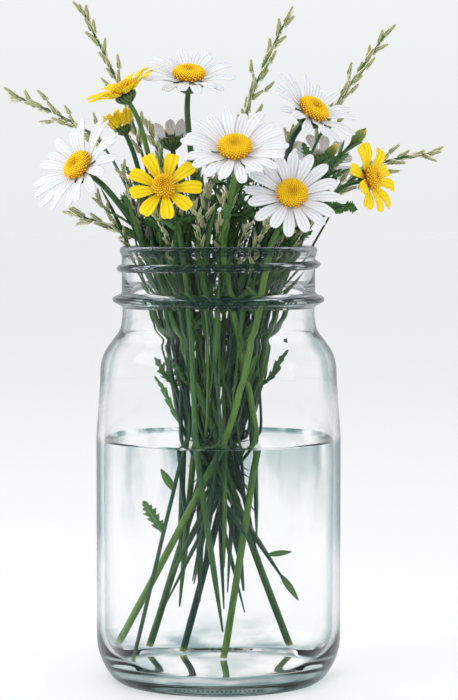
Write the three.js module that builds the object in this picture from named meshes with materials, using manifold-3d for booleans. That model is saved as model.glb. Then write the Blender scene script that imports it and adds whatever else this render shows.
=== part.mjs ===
// Wildflowers standing in a wide-mouthed glass jar of water: daisies, small yellow
// flowers, grasses, buds and leafy stems. Millimetres, +Z up, the jar's axis on the
// Z axis and its foot ring on z = 0. The front of the bunch faces -Y.

import * as THREE from "three";
import { mergeVertices } from "three/addons/utils/BufferGeometryUtils.js";
import Module from "manifold-3d";

const wasm = await Module();
wasm.setup();

// The jar
const jarHeight = 174;
const jarRadius = 49;
const jarWall = 3;
const jarFloor = 5.2;
const footRadius = 41.5;
const heelHeight = 18;
const mouthRadius = 36.4;
const recessRadius = 35;
const recessDepth = 1.4;
const jarSegments = 26;
const threadRadius = 39.3;
const threadBottom = 164;
const threadRise = 3.4;
const threadTurns = 1.15;
const threadStart = 1.2;
const threadSteps = 18;
const threadBulge = 1.6;

// The water
const waterTop = 96;
const fitGap = 0.3;

// Stems
const bareHeight = 98.5;
const neckHeight = 173;
const stemGap = 0.8;
const stemSides = 5;
const stemSpans = 6;
const holeSides = 6;
const settlePasses = 150;
const settleLimit = 0.01;

// Blooms
const hubShare = 0.6;
const petalThickness = 0.75;
const layerStep = 0.85;
const discBase = 0.8;
const flatRise = 0.2;
const cupTop = -1.95;

const up = new THREE.Vector3(0, 0, 1);
const back = new THREE.Vector3(0, 1, 0);

function vec(list) {
  return new THREE.Vector3(...list);
}

// A fixed scatter between 0 and 1.
function scatter(index, seed) {
  const value = Math.sin(index * 12.9898 + seed * 4.1414) * 43758.5453;
  return value - Math.floor(value);
}

// ---- solids -------------------------------------------------------------------

function solidOf(geometry) {
  const bare = new THREE.BufferGeometry();
  bare.setAttribute("position", geometry.attributes.position);
  bare.setIndex(geometry.index);
  const merged = mergeVertices(bare);
  return new wasm.Manifold(
    new wasm.Mesh({
      numProp: 3,
      vertProperties: merged.attributes.position.array,
      triVerts: new Uint32Array(merged.index.array),
    }),
  );
}

function joined(solids) {
  return solids.reduce((whole, piece) => whole.add(piece));
}

function largestBody(solid) {
  const bodies = solid.decompose();
  return bodies.reduce((a, b) => (a.volume() > b.volume() ? a : b));
}

function meshOf(name, solid, material) {
  const mesh = solid.getMesh();
  const geometry = new THREE.BufferGeometry();
  const corners = new Float32Array(mesh.vertProperties);
  geometry.setAttribute("position", new THREE.BufferAttribute(corners, 3));
  geometry.setIndex(new THREE.BufferAttribute(new Uint32Array(mesh.triVerts), 1));
  geometry.computeVertexNormals();
  const made = new THREE.Mesh(geometry, material);
  made.name = name;
  return made;
}

// A closed tube whose section at each station is stretched by wide along `across`
// and by thick along the third direction.
function sweep(stations, sides) {
  const last = stations.length - 1;
  const geometry = new THREE.CylinderGeometry(1, 1, 1, sides, last);
  const corners = geometry.attributes.position;
  for (let i = 0; i < corners.count; i++) {
    const station = stations[Math.round((corners.getY(i) + 0.5) * last)];
    const over = station.across.clone().cross(station.forward).normalize();
    const point = station.at.clone();
    point.addScaledVector(station.across, corners.getX(i) * station.wide);
    point.addScaledVector(over, (corners.getZ(i) + (station.lift || 0)) * station.thick);
    if (Math.hypot(corners.getX(i), corners.getZ(i)) < 1e-6) {
      point.addScaledVector(station.forward, -(station.notch || 0));
    }
    corners.setXYZ(i, point.x, point.y, point.z);
  }
  return solidOf(geometry);
}

function tangents(points) {
  return points.map((point, i) => {
    const before = points[Math.max(i - 1, 0)];
    const after = points[Math.min(i + 1, points.length - 1)];
    return after.clone().sub(before).normalize();
  });
}

// A round tube along the points, with a radius for each.
function tube(points, radii, sides) {
  const forwards = tangents(points);
  const stations = points.map((at, i) => {
    const forward = forwards[i];
    const across = forward.clone().cross(back).normalize();
    return { at, forward, across, wide: radii[i], thick: radii[i] };
  });
  return sweep(stations, sides);
}

// A thin blade, flat above and keeled below. `across` is its width direction and
// each width is half the blade's breadth there.
function blade(points, acrosses, widths, thickness, notch) {
  const forwards = tangents(points);
  const edge = Math.sin((2 * Math.PI) / 3);
  const stations = points.map((at, i) => ({
    at,
    forward: forwards[i],
    across: acrosses[i],
    wide: widths[i] / edge,
    thick: thickness / 1.5,
    lift: 0.5,
    notch: i === points.length - 1 ? notch : 0,
  }));
  return sweep(stations, 3);
}

// ---- materials ----------------------------------------------------------------

function paint(color, roughness, extra) {
  return new THREE.MeshStandardMaterial({ color, roughness, metalness: 0, ...extra });
}

const glassPaint = paint(0xdfecec, 0.04, { transparent: true, opacity: 0.35 });
const waterPaint = paint(0xe8f4f4, 0.02, { transparent: true, opacity: 0.3 });
const stemPaint = paint(0x3f7a2a, 0.55);
const leafPaint = paint(0x2c5a30, 0.6);
const grassPaint = paint(0x8c9a62, 0.7);
const whitePaint = paint(0xf4f4f8, 0.6);
const yellowPaint = paint(0xf5d90a, 0.55);
const discPaint = paint(0xf2b705, 0.75);
const orangePaint = paint(0xd98a10, 0.75);

// ---- jar and water ------------------------------------------------------------

function heelRadius(outer, height) {
  const left = Math.max(0, 1 - height / heelHeight);
  return outer - (jarRadius - footRadius) * Math.pow(left, 2.2);
}

function lathe(profile) {
  const points = profile.map(([radius, height]) => new THREE.Vector2(radius, height));
  const geometry = new THREE.LatheGeometry(points, jarSegments);
  geometry.rotateX(Math.PI / 2);
  return solidOf(geometry);
}

function outerProfile() {
  const profile = [
    [footRadius - 0.8, 0],
    [footRadius, 0.9],
  ];
  for (const height of [4.5, 10, heelHeight]) {
    profile.push([heelRadius(jarRadius, height), height]);
  }
  profile.push([jarRadius, 100], [47.5, 119], [47, 127], [45.4, 132], [42.4, 136.4]);
  profile.push([39.6, 140.4], [38.4, 145.4], [38.4, 149.8], [42.3, 152], [42.3, 153.6], [38.7, 155.4]);
  profile.push([38.7, 170], [39.4, 171.8], [38.4, jarHeight]);
  return profile;
}

function innerProfile(shrink) {
  const inner = jarRadius - jarWall - shrink;
  const base = jarFloor + shrink;
  return [
    [0, base],
    [34, base],
    [41 - shrink, base + 2.6],
    [44.6 - shrink, base + 8],
    [inner, base + 15],
  ];
}

// One rounded ridge that climbs round the neck, blended into it at both ends.
function screwThread() {
  const steps = Math.round(threadSteps * threadTurns);
  const points = [];
  const radii = [];
  for (let i = 0; i <= steps; i++) {
    const share = i / steps;
    const angle = threadStart + share * threadTurns * 2 * Math.PI;
    const sunk = Math.min(1, Math.min(share, 1 - share) * 14);
    const radius = threadRadius - (1 - sunk) * threadBulge;
    const height = threadBottom + share * threadRise * threadTurns;
    points.push(new THREE.Vector3(radius * Math.cos(angle), radius * Math.sin(angle), height));
    radii.push(threadBulge);
  }
  const forwards = tangents(points);
  const stations = points.map((at, i) => ({
    at,
    forward: forwards[i],
    across: up.clone(),
    wide: radii[i],
    thick: radii[i],
  }));
  return sweep(stations, 4);
}

function jarSolid() {
  const inside = innerProfile(0).reverse();
  const profile = [
    [0, recessDepth],
    [recessRadius - 3, recessDepth],
    [recessRadius, 0],
    ...outerProfile(),
    [mouthRadius + 0.6, jarHeight],
    [mouthRadius, 172.6],
    [mouthRadius, 147],
    [38.2, 137.6],
    [42.4, 131],
    [44.2, 124],
    [44.6, 117],
    [jarRadius - jarWall, 100],
    ...inside,
  ];
  return joined([lathe(profile), screwThread()]);
}

function waterSolid(stems, sunkLeaves) {
  const profile = innerProfile(fitGap);
  profile.push([jarRadius - jarWall - fitGap, waterTop]);
  profile.push([0, waterTop]);
  let water = lathe(profile);
  for (const stem of stems) {
    const [foot, bare] = stem.points;
    const forward = bare.clone().sub(foot).normalize();
    const start = foot.clone().addScaledVector(forward, -1.5);
    const radius = (stem.radii[0] + 0.35) / Math.cos(Math.PI / holeSides);
    water = water.subtract(tube([start, bare], [radius, radius], holeSides));
  }
  for (const hole of sunkLeaves) {
    water = water.subtract(hole);
  }
  return largestBody(water);
}

// ---- what stands in the jar ---------------------------------------------------

// centre and facing of each bloom, how far its petals reach, its disc's radius, the
// number of petals and their half width, and how steeply they rise.
const blooms = {
  left_daisy: {
    kind: "daisy", centre: [-54.6, -12, 205.3], facing: [-0.61, -0.6, 0.51],
    reach: 22.5, disc: 6.8, petals: 18, width: 2.5, rise: 0.18, seed: 1,
  },
  top_daisy: {
    kind: "daisy", centre: [-11.7, -5, 241], facing: [0.05, -0.46, 0.887],
    reach: 20, disc: 6.9, petals: 18, width: 2.5, rise: 0.2, seed: 2,
  },
  centre_daisy: {
    kind: "daisy", centre: [6.4, -49, 211.2], facing: [0, -0.68, 0.73],
    reach: 21.2, disc: 7.1, petals: 18, width: 2.6, rise: 0.24, seed: 3,
  },
  front_daisy: {
    kind: "daisy", centre: [28.2, -37, 194.2], facing: [0.1, -0.88, 0.46],
    reach: 19.4, disc: 6.5, petals: 16, width: 2.6, rise: 0.2, seed: 4,
  },
  right_daisy: {
    kind: "daisy", centre: [37, -8, 227.2], facing: [0.49, -0.52, 0.7],
    reach: 20.6, disc: 7, petals: 16, width: 2.5, rise: 0.22, seed: 5,
  },
  back_daisy: {
    kind: "daisy", centre: [-19.5, 22, 218], facing: [-0.15, 0.12, 0.98],
    reach: 13.2, disc: 5.2, petals: 12, width: 2.2, rise: 0.95, seed: 6,
  },
  rear_daisy: {
    kind: "daisy", centre: [43, 37, 208], facing: [0.35, 0.72, 0.6],
    reach: 14.5, disc: 5.8, petals: 11, width: 2.5, rise: 0.3, seed: 7,
  },
  upper_yellow: {
    kind: "yellow", centre: [-37, -21, 234.6], facing: [-0.45, -0.14, 0.88],
    reach: 15.2, disc: 4.8, petals: 10, width: 2.8, rise: 0.3, seed: 8,
  },
  closed_yellow: {
    kind: "yellow", centre: [-38.9, 6, 222.6], facing: [-0.38, -0.08, 0.92],
    reach: 10.2, disc: 3.8, petals: 11, width: 1.6, rise: 1.15, seed: 9,
  },
  front_yellow: {
    kind: "yellow", centre: [-20.6, -43, 197.2], facing: [0, -0.93, 0.35],
    reach: 14.8, disc: 4.7, petals: 9, width: 2.9, rise: 0.22, seed: 10,
  },
  right_yellow: {
    kind: "yellow", centre: [60, -10, 200.8], facing: [0.776, -0.578, 0.252],
    reach: 14.8, disc: 4.7, petals: 10, width: 2.8, rise: 0.2, seed: 11,
  },
};

// Where each stem stands: its cut foot, where it leaves the water and where it
// passes the mouth of the jar, then its top for a stem that carries no bloom.
const routes = {
  front_daisy: { foot: [-36.3, 2, 13.5], bare: [5, -11], neck: [20, -27] },
  left_daisy: { foot: [24.8, 25, 9], bare: [-4, -8], neck: [-28, -9] },
  centre_daisy: { foot: [0.5, 3, 6.6], bare: [13, -5], neck: [2, -27] },
  top_daisy: { foot: [-25, 24, 8.5], bare: [-1, 1], neck: [-7, -5] },
  right_daisy: { foot: [-14.7, 21, 6.6], bare: [8, 4], neck: [20, -6] },
  right_yellow: { foot: [-18, 4, 40], bare: [9, -2], neck: [31, -8] },
  front_yellow: { foot: [2, -4, 20], bare: [-8, -12], neck: [-14, -27] },
  upper_yellow: { foot: [-14, 10, 28], bare: [-9, 1], neck: [-20, -12] },
  back_daisy: { foot: [-5, 14, 30], bare: [-6, 9], neck: [-12, 12] },
  rear_daisy: { foot: [9, 14, 34], bare: [3, 12], neck: [18, 24] },
  closed_yellow: { foot: [-13, 3, 48], bare: [-12, 5], neck: [-25, 2] },
};

const leafyStems = {
  bud_stem: {
    foot: [25, 4, 38], bare: [-11, -8], neck: [28, 3], bend: [44, 7, 204], top: [54.6, 8, 216],
    radius: 1.1, bud: 2.0,
  },
  small_buds: {
    foot: [14, -4, 58], bare: [12, 2], neck: [25, 6], bend: [36, 6, 200], top: [43.6, 6, 210],
    radius: 0.9, bud: 1.8,
  },
  left_leafy: {
    foot: [-12, -4, 60], bare: [-13, -2], neck: [-17, -16], bend: [-22, -20, 186], top: [-25, -23, 201],
    radius: 0.9, bud: 1.0,
  },
  right_leafy: {
    foot: [12, 6, 52], bare: [4, -5], neck: [24, -15], bend: [34, -14, 186], top: [50, -10, 190],
    radius: 0.9, bud: 0.8,
  },
  middle_leafy: {
    foot: [4, 0, 46], bare: [1, -6], neck: [4, -12], bend: [6, -17, 192], top: [7, -20, 208],
    radius: 0.9, bud: 1.0,
  },
  rear_leafy: {
    foot: [3, 16, 26], bare: [0, 13], neck: [4, 24], bend: [6, 30, 192], top: [7, 36, 214],
    radius: 0.9, bud: 1.0,
  },
};

// ears: how much of the stem's top carries spikelets, and how many.
const grasses = {
  tall_left_grass: {
    foot: [-32, -10, 6.6], bare: [-12, -6], neck: [-22, 12], bend: [-38, 29, 232], top: [-55, 33, 268],
    ears: 62, count: 13,
  },
  low_left_grass: {
    foot: [8, 20, 24], bare: [-8, 7], neck: [-28, 14], bend: [-50, 38, 217], top: [-85.5, 61.5, 236],
    ears: 52, count: 11,
  },
  tall_middle_grass: {
    foot: [-9, 18, 36], bare: [2, 6], neck: [6, 17], bend: [12, 29, 230], top: [28, 36, 267],
    ears: 56, count: 12,
  },
  tall_right_grass: {
    foot: [3, 8, 34], bare: [6, 8], neck: [23, 20], bend: [44, 17, 224], top: [67.5, 25, 259],
    ears: 52, count: 11,
  },
  low_right_grass: {
    foot: [-20, -5, 30], bare: [11, 1], neck: [32, 8], bend: [60, 15, 205], top: [84.7, 12, 211],
    ears: 44, count: 10,
  },
  side_grass: {
    foot: [16, -6, 50], bare: [-13, 1], neck: [-29, 0], bend: [-40, 6, 180], top: [-56, 10, 186],
    ears: 24, count: 7,
  },
  inner_left_grass: {
    foot: [8, 2, 44], bare: [-4, 4], neck: [-13, 5], bend: [-20, 4, 200], top: [-27.5, 5, 220],
    ears: 26, count: 7,
  },
  inner_right_grass: {
    foot: [-6, -6, 50], bare: [5, 0], neck: [13, 2], bend: [24, 8, 200], top: [29, 12, 218],
    ears: 26, count: 6,
  },
  front_grass: {
    foot: [-8, 0, 40], bare: [0, -13], neck: [-6, -24], bend: [-5, -26, 186], top: [-3, -28, 203],
    ears: 22, count: 6,
  },
};

// Leaves on each stem: the height of the root, the turn round the stem, the rise and
// the roll in degrees, then length, breadth, outline and droop.
const leaves = {
  tall_left_grass: [[77, 175, 62, 70, 10, 3.6, "plain", 0], [60, 185, 60, 70, 15, 6, "lobed", 0]],
  bud_stem: [
    [50, 0, 8, 70, 9, 2.6, "plain", 0], [42, 10, -58, 70, 13, 3, "plain", 0],
    [188, 60, 30, 0, 15, 5, "lobed", 0.2], [200, -40, 35, 0, 12, 4.5, "lobed", 0.2],
  ],
  left_leafy: [
    [102, 185, 64, 60, 24, 3.4, "lobed", 0], [178, 192, 45, 0, 18, 6, "lobed", 0.2],
    [184, 240, 40, 0, 16, 5.5, "lobed", 0.2], [192, 150, 45, 0, 15, 5, "lobed", 0.2],
  ],
  right_leafy: [
    [106, 135, 62, 60, 16, 3.4, "plain", 0], [180, -60, 40, 0, 16, 5.5, "lobed", 0.2],
    [184, 20, 20, 0, 16, 5, "lobed", 0.1], [187, -30, 10, 0, 10, 4, "plain", 0.1],
  ],
  small_buds: [[116, 0, 48, 60, 20, 3.6, "lobed", 0], [196, 80, 35, 0, 13, 4.5, "lobed", 0.2]],
  middle_leafy: [
    [186, -20, 45, 0, 16, 5, "lobed", 0.2],
    [194, -100, 45, 0, 14, 5, "lobed", 0.2],
  ],
  rear_leafy: [
    [186, 120, 35, 0, 20, 6, "lobed", 0.2],
    [196, 20, 35, 0, 17, 5.5, "lobed", 0.2], [206, 150, 40, 0, 15, 5, "lobed", 0.2],
  ],
  left_daisy: [
    [181, 170, 40, 0, 16, 5, "lobed", 0.2], [186, 100, 45, 0, 16, 5, "lobed", 0.2],
  ],
  top_daisy: [[190, 110, 50, 0, 18, 5, "lobed", 0.2]],
  centre_daisy: [[184, -90, 40, 0, 14, 4.5, "lobed", 0.2]],
  front_daisy: [[118, 10, 60, 60, 15, 3.4, "plain", 0], [180, -40, 30, 0, 14, 4.5, "lobed", 0.2]],
  right_daisy: [[184, 40, 45, 0, 16, 5, "lobed", 0.2], [198, 80, 45, 0, 15, 5, "lobed", 0.2]],
  right_yellow: [[184, 30, 25, 0, 15, 4.5, "lobed", 0.2]],
  front_yellow: [[180, 240, 30, 0, 14, 4.5, "lobed", 0.2]],
  upper_yellow: [[196, 180, 45, 0, 15, 5, "lobed", 0.2]],
  rear_daisy: [[180, 100, 35, 0, 18, 5.5, "lobed", 0.2], [192, 30, 40, 0, 15, 5, "lobed", 0.2]],
};

const flowerStemRadius = 1.35;
const yellowStemRadius = 1.15;
const grassStemRadius = 0.8;

function facingOf(bloom) {
  return new THREE.Quaternion().setFromUnitVectors(up, vec(bloom.facing).normalize());
}

// How tall the green cup under a bloom is.
function cupDepth(bloom) {
  return bloom.disc * 0.62;
}

function layOut(route, bend, top) {
  const [x, y] = route.bare;
  const [nx, ny] = route.neck;
  const marks = [
    vec(route.foot),
    new THREE.Vector3(x, y, bareHeight),
    new THREE.Vector3(nx, ny, neckHeight),
    bend,
    top,
  ];
  const curve = new THREE.CatmullRomCurve3(marks, false, "centripetal");
  const points = [marks[0]];
  for (let i = 0; i <= stemSpans; i++) {
    points.push(curve.getPoint(0.25 + (0.75 * i) / stemSpans));
  }
  return points;
}

function stemOf(name, route, bend, top, radius, tip) {
  const points = layOut(route, bend, top);
  const last = points.length - 1;
  const radii = points.map((_, i) => radius + (tip - radius) * Math.pow(i / last, 1.3));
  return { name, points, radii };
}

function bloomStem(name) {
  const bloom = blooms[name];
  const facing = vec(bloom.facing).normalize();
  const radius = bloom.kind === "daisy" ? flowerStemRadius : yellowStemRadius;
  const top = vec(bloom.centre).addScaledVector(facing, cupTop - cupDepth(bloom));
  const bend = top.clone().addScaledVector(facing, -9);
  return stemOf(name, routes[name], bend, top, radius, radius * 0.8);
}

function plainStem(name, route) {
  const radius = route.radius || grassStemRadius;
  return stemOf(name, route, vec(route.bend), vec(route.top), radius, radius * 0.5);
}

// The nearest points of two segments, as shares along each.
function nearest(a, b, c, d) {
  const u = b.clone().sub(a);
  const v = d.clone().sub(c);
  const w = a.clone().sub(c);
  const uu = u.dot(u);
  const uv = u.dot(v);
  const vv = v.dot(v);
  const uw = u.dot(w);
  const vw = v.dot(w);
  const spread = uu * vv - uv * uv;
  let s = spread > 1e-9 ? (uv * vw - vv * uw) / spread : 0;
  s = Math.min(1, Math.max(0, s));
  let t = (uv * s + vw) / vv;
  t = Math.min(1, Math.max(0, t));
  s = Math.min(1, Math.max(0, (uv * t - uw) / uu));
  return [s, t];
}

function nudge(stem, index, share, push) {
  const last = stem.points.length - 1;
  for (const [at, weight] of [[index, 1 - share], [index + 1, share]]) {
    if (at >= last - 1) continue;
    const move = push.clone().multiplyScalar(weight);
    if (at < 5) move.z = 0;
    stem.points[at].add(move);
  }
}

// Moves two stems apart where they come too near, and gives how much was missing.
function parted(first, second) {
  let worst = 0;
  for (let i = 0; i < first.points.length - 1; i++) {
    for (let j = 0; j < second.points.length - 1; j++) {
      const a = first.points[i];
      const b = first.points[i + 1];
      const c = second.points[j];
      const d = second.points[j + 1];
      if (Math.min(a.z, b.z) > Math.max(c.z, d.z) + 5) continue;
      if (Math.min(c.z, d.z) > Math.max(a.z, b.z) + 5) continue;
      const [s, t] = nearest(a, b, c, d);
      const gap = a.clone().lerp(b, s).sub(c.clone().lerp(d, t));
      const wanted = first.radii[i] + second.radii[j] + stemGap;
      const distance = Math.max(gap.length(), 1e-3);
      if (distance >= wanted) continue;
      worst = Math.max(worst, wanted - distance);
      const push = gap.multiplyScalar((0.5 * (wanted - distance)) / distance);
      nudge(first, i, s, push);
      nudge(second, j, t, push.negate());
    }
  }
  return worst;
}

// The room inside the jar at a height.
function roomAt(height) {
  if (height > jarHeight + 2) return Infinity;
  if (height > 140) return mouthRadius - 0.8;
  if (height > 120) return 37;
  const profile = innerProfile(0);
  for (let i = 1; i < profile.length; i++) {
    const [r0, z0] = profile[i - 1];
    const [r1, z1] = profile[i];
    if (height <= z1 && z1 > z0) return r0 + ((r1 - r0) * (height - z0)) / (z1 - z0) - 1;
  }
  return jarRadius - jarWall - 1;
}

function keptInside(stem) {
  stem.points.forEach((point, i) => {
    const room = roomAt(point.z) - stem.radii[i];
    const reach = Math.hypot(point.x, point.y);
    if (reach > room) {
      point.x *= room / reach;
      point.y *= room / reach;
    }
  });
}

// Eases crossing stems apart until none is nearer to another than the gap.
function settle(stems) {
  let worst = 1;
  for (let pass = 0; pass < settlePasses && worst > settleLimit; pass++) {
    worst = 0;
    for (let i = 0; i < stems.length; i++) {
      for (let j = i + 1; j < stems.length; j++) {
        worst = Math.max(worst, parted(stems[i], stems[j]));
      }
    }
    stems.forEach(keptInside);
  }
}

// ---- blooms -------------------------------------------------------------------

// One petal: it starts under the disc, passes its edge and rises or falls from there.
function petal(bloom, index) {
  const turn = ((index + 0.25 * (scatter(index, bloom.seed) - 0.5)) / bloom.petals) * 2 * Math.PI;
  const outward = new THREE.Vector3(Math.cos(turn), Math.sin(turn), 0);
  const across = new THREE.Vector3(-Math.sin(turn), Math.cos(turn), 0);
  const level = index % 2 ? 0.15 : 0.15 - layerStep;
  const reach = bloom.reach * (0.93 + 0.1 * scatter(index, bloom.seed + 20));
  const rise = bloom.rise + 0.1 * (scatter(index, bloom.seed + 40) - 0.5) + (index % 2 ? 0.06 : 0);
  const edge = bloom.disc * 1.06;
  const rest = reach - edge;
  const places = [
    [bloom.disc * 0.5, level],
    [edge, level],
    [edge + rest * 0.62 * Math.cos(rise), level + rest * 0.62 * Math.sin(rise)],
    [edge + rest * Math.cos(rise), level + rest * Math.sin(rise) - rest * 0.05],
  ];
  const widths = [0.42, 0.66, 1, 0.52].map((share) => share * bloom.width);
  if (bloom.rise < flatRise) {
    places.splice(1, 1);
    widths.splice(1, 1);
  }
  const points = places.map(([radius, height]) =>
    outward.clone().multiplyScalar(radius).addScaledVector(up, height),
  );
  return blade(points, points.map(() => across), widths, petalThickness, rest * 0.06);
}

function drum(radius, bottom, top, sides) {
  const geometry = new THREE.CylinderGeometry(radius, radius, top - bottom, sides);
  geometry.rotateX(Math.PI / 2);
  geometry.translate(0, 0, (top + bottom) / 2);
  return solidOf(geometry);
}

function petalsOf(bloom) {
  const pieces = [drum(bloom.disc * hubShare, -1.6, 0.45, 12)];
  for (let i = 0; i < bloom.petals; i++) {
    pieces.push(petal(bloom, i));
  }
  return joined(pieces);
}

// A low dome with a dimple, its florets raised as a chequer of bumps.
function discOf(bloom) {
  const sides = 12;
  const tall = bloom.kind === "daisy" ? 0.42 : 0.5;
  const shape = [[0.96, 0.1], [0.86, 0.66], [0.52, 1], [0.18, 0.84]];
  const stations = shape.map(([share, height]) => ({
    at: new THREE.Vector3(0, 0, discBase + height * tall * bloom.disc),
    forward: up,
    across: new THREE.Vector3(1, 0, 0),
    wide: share * bloom.disc,
    thick: share * bloom.disc,
  }));
  const last = stations.length - 1;
  const geometry = new THREE.CylinderGeometry(1, 1, 1, sides, last);
  const corners = geometry.attributes.position;
  for (let i = 0; i < corners.count; i++) {
    const ring = Math.round((corners.getY(i) + 0.5) * last);
    const angle = Math.atan2(corners.getZ(i), corners.getX(i));
    const spoke = Math.round((angle / (2 * Math.PI)) * sides + sides);
    const centre = Math.hypot(corners.getX(i), corners.getZ(i)) < 1e-6;
    const bump = ring === 0 || centre ? 0 : (ring + spoke) % 2 ? 0.3 : -0.3;
    const share = (centre ? 0 : shape[ring][0]) * bloom.disc + bump * 0.5;
    const height = discBase + shape[ring][1] * tall * bloom.disc + bump * (ring > 1 ? 1 : 0);
    corners.setXYZ(i, -Math.cos(angle) * share, Math.sin(angle) * share, height);
  }
  return solidOf(geometry);
}

// The green cup of bracts, sitting on the stem just under the petals.
function cupOf(bloom) {
  const depth = cupDepth(bloom);
  const sides = 8;
  const shape = [[0.26, -1.15], [0.5, -0.8], [0.84, -0.3], [0.78, 0]];
  const last = shape.length - 1;
  const geometry = new THREE.CylinderGeometry(1, 1, 1, sides, last);
  const corners = geometry.attributes.position;
  for (let i = 0; i < corners.count; i++) {
    const ring = Math.round((corners.getY(i) + 0.5) * last);
    const angle = Math.atan2(corners.getZ(i), corners.getX(i));
    const spoke = Math.round((angle / (2 * Math.PI)) * sides + sides);
    const centre = Math.hypot(corners.getX(i), corners.getZ(i)) < 1e-6;
    const bump = ring === 0 ? 1 : (ring + spoke) % 2 ? 1.06 : 0.94;
    const share = centre ? 0 : shape[ring][0] * bloom.disc * bump;
    corners.setXYZ(i, -Math.cos(angle) * share, Math.sin(angle) * share, cupTop + shape[ring][1] * depth);
  }
  geometry.applyQuaternion(facingOf(bloom));
  geometry.translate(...bloom.centre);
  return solidOf(geometry);
}

// ---- leaves, buds and spikelets -----------------------------------------------

const lobed = [0.3, 1, 0.42, 0.95, 0.15];
const plain = [0.35, 0.95, 0.75, 0.12];

// The direction of a leaf's breadth: level, then rolled about its heading.
function breadthOf(heading, roll) {
  return up.clone().cross(heading).normalize().applyAxisAngle(heading, (roll * Math.PI) / 180);
}

// A leaf that starts inside the stem and bends over by its own droop.
function leafBlade(root, heading, roll, length, width, shape, droop) {
  const across = breadthOf(heading, roll);
  const last = shape.length - 1;
  const points = shape.map((_, i) => {
    const share = i / last;
    const point = root.clone().addScaledVector(heading, share * length);
    return point.addScaledVector(up, -droop * share * share * length);
  });
  const widths = shape.map((share) => Math.max(0.3, (share * width) / 2));
  return blade(points, shape.map(() => across), widths, 0.8, 0);
}

function headingOf(turn, rise) {
  const angle = (turn * Math.PI) / 180;
  return new THREE.Vector3(
    Math.cos(angle) * Math.cos(rise),
    Math.sin(angle) * Math.cos(rise),
    Math.sin(rise),
  );
}

function pointAtHeight(stem, height) {
  for (let i = 1; i < stem.points.length; i++) {
    const a = stem.points[i - 1];
    const b = stem.points[i];
    if (height >= a.z && height <= b.z) return a.clone().lerp(b, (height - a.z) / (b.z - a.z));
  }
  return stem.points[stem.points.length - 1].clone();
}

// A plain slot in the water, a little larger all round than the leaf that stands in it.
function leafHole(root, heading, roll, length, width) {
  const across = breadthOf(heading, roll);
  const over = across.clone().cross(heading).normalize();
  const start = root.clone().addScaledVector(over, 0.3);
  const end = start.clone().addScaledVector(heading, length + 0.5);
  const forward = heading.clone();
  const size = { forward, across, wide: width * 0.85 + 0.8, thick: 1.5 };
  return sweep([{ at: start, ...size }, { at: end, ...size }], 4);
}

// One leaf on its stem, with a slot in the water if it grows below the surface.
function growLeaf(stem, leaf) {
  const [height, turn, rise, roll, length, width, outline, droop] = leaf;
  const root = pointAtHeight(stem, height);
  const heading = headingOf(turn, (rise * Math.PI) / 180);
  if (height < waterTop) sunkLeaves.push(leafHole(root, heading, roll, length, width));
  const shape = outline === "lobed" ? lobed : plain;
  return leafBlade(root, heading, roll, length, width, shape, droop);
}

function ovoid(base, forward, length, radius) {
  const points = [0, 0.25, 0.6, 1].map((share) =>
    base.clone().addScaledVector(forward, share * length),
  );
  return tube(points, [0.45, 1, 0.9, 0.3].map((share) => share * radius), 6);
}

function spikelet(base, heading, length, radius) {
  const geometry = new THREE.OctahedronGeometry(1, 0);
  geometry.scale(radius, radius, length / 2);
  const turn = new THREE.Quaternion().setFromUnitVectors(up, heading);
  geometry.applyQuaternion(turn);
  const middle = base.clone().addScaledVector(heading, length * 0.4);
  geometry.translate(middle.x, middle.y, middle.z);
  return solidOf(geometry);
}

// The place and heading on a stem at a distance below its top.
function downFromTop(stem, distance) {
  let left = distance;
  for (let i = stem.points.length - 1; i > 0; i--) {
    const a = stem.points[i];
    const b = stem.points[i - 1];
    const span = a.distanceTo(b);
    if (left <= span) return [a.clone().lerp(b, left / span), a.clone().sub(b).normalize()];
    left -= span;
  }
  return [stem.points[0].clone(), up.clone()];
}

// The top of a grass stem with its spikelets leaning out turn by turn.
function grassHead(stem, grass, seed) {
  const pieces = [];
  for (let i = 0; i < grass.count; i++) {
    const down = grass.ears * (1 - i / (grass.count - 0.6));
    const [base, forward] = downFromTop(stem, down);
    const across = forward.clone().cross(back).normalize();
    const swing = (i * 2.4 + scatter(i, seed)) % (2 * Math.PI);
    const outward = across.applyAxisAngle(forward, swing);
    const lean = 0.34 + 0.3 * scatter(i, seed + 5);
    const heading = forward.multiplyScalar(Math.cos(lean)).addScaledVector(outward, Math.sin(lean));
    base.addScaledVector(outward, 0.25);
    pieces.push(spikelet(base, heading.normalize(), 7.2 + 1.6 * scatter(i, seed + 9), 1.05));
  }
  const end = stem.points[stem.points.length - 1];
  const before = stem.points[stem.points.length - 2];
  pieces.push(spikelet(end, end.clone().sub(before).normalize(), 7, 0.9));
  return pieces;
}

// ---- putting it together ------------------------------------------------------

const stems = {};
for (const name of Object.keys(blooms)) stems[name] = bloomStem(name);
for (const [name, route] of Object.entries(leafyStems)) stems[name] = plainStem(name, route);
for (const [name, route] of Object.entries(grasses)) stems[name] = plainStem(name, route);
settle(Object.values(stems));

const bunch = new THREE.Group();
const sunkLeaves = [];

function buildBloomHeads() {
  for (const [name, bloom] of Object.entries(blooms)) {
    const head = new THREE.Group();
    const petals = petalsOf(bloom);
    const disc = discOf(bloom);
    head.add(meshOf(name + "_petals", petals, bloom.kind === "daisy" ? whitePaint : yellowPaint));
    head.add(meshOf(name + "_disc", disc, bloom.kind === "daisy" ? discPaint : orangePaint));
    head.position.copy(vec(bloom.centre));
    head.quaternion.copy(facingOf(bloom));
    bunch.add(head);
  }
}

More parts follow.
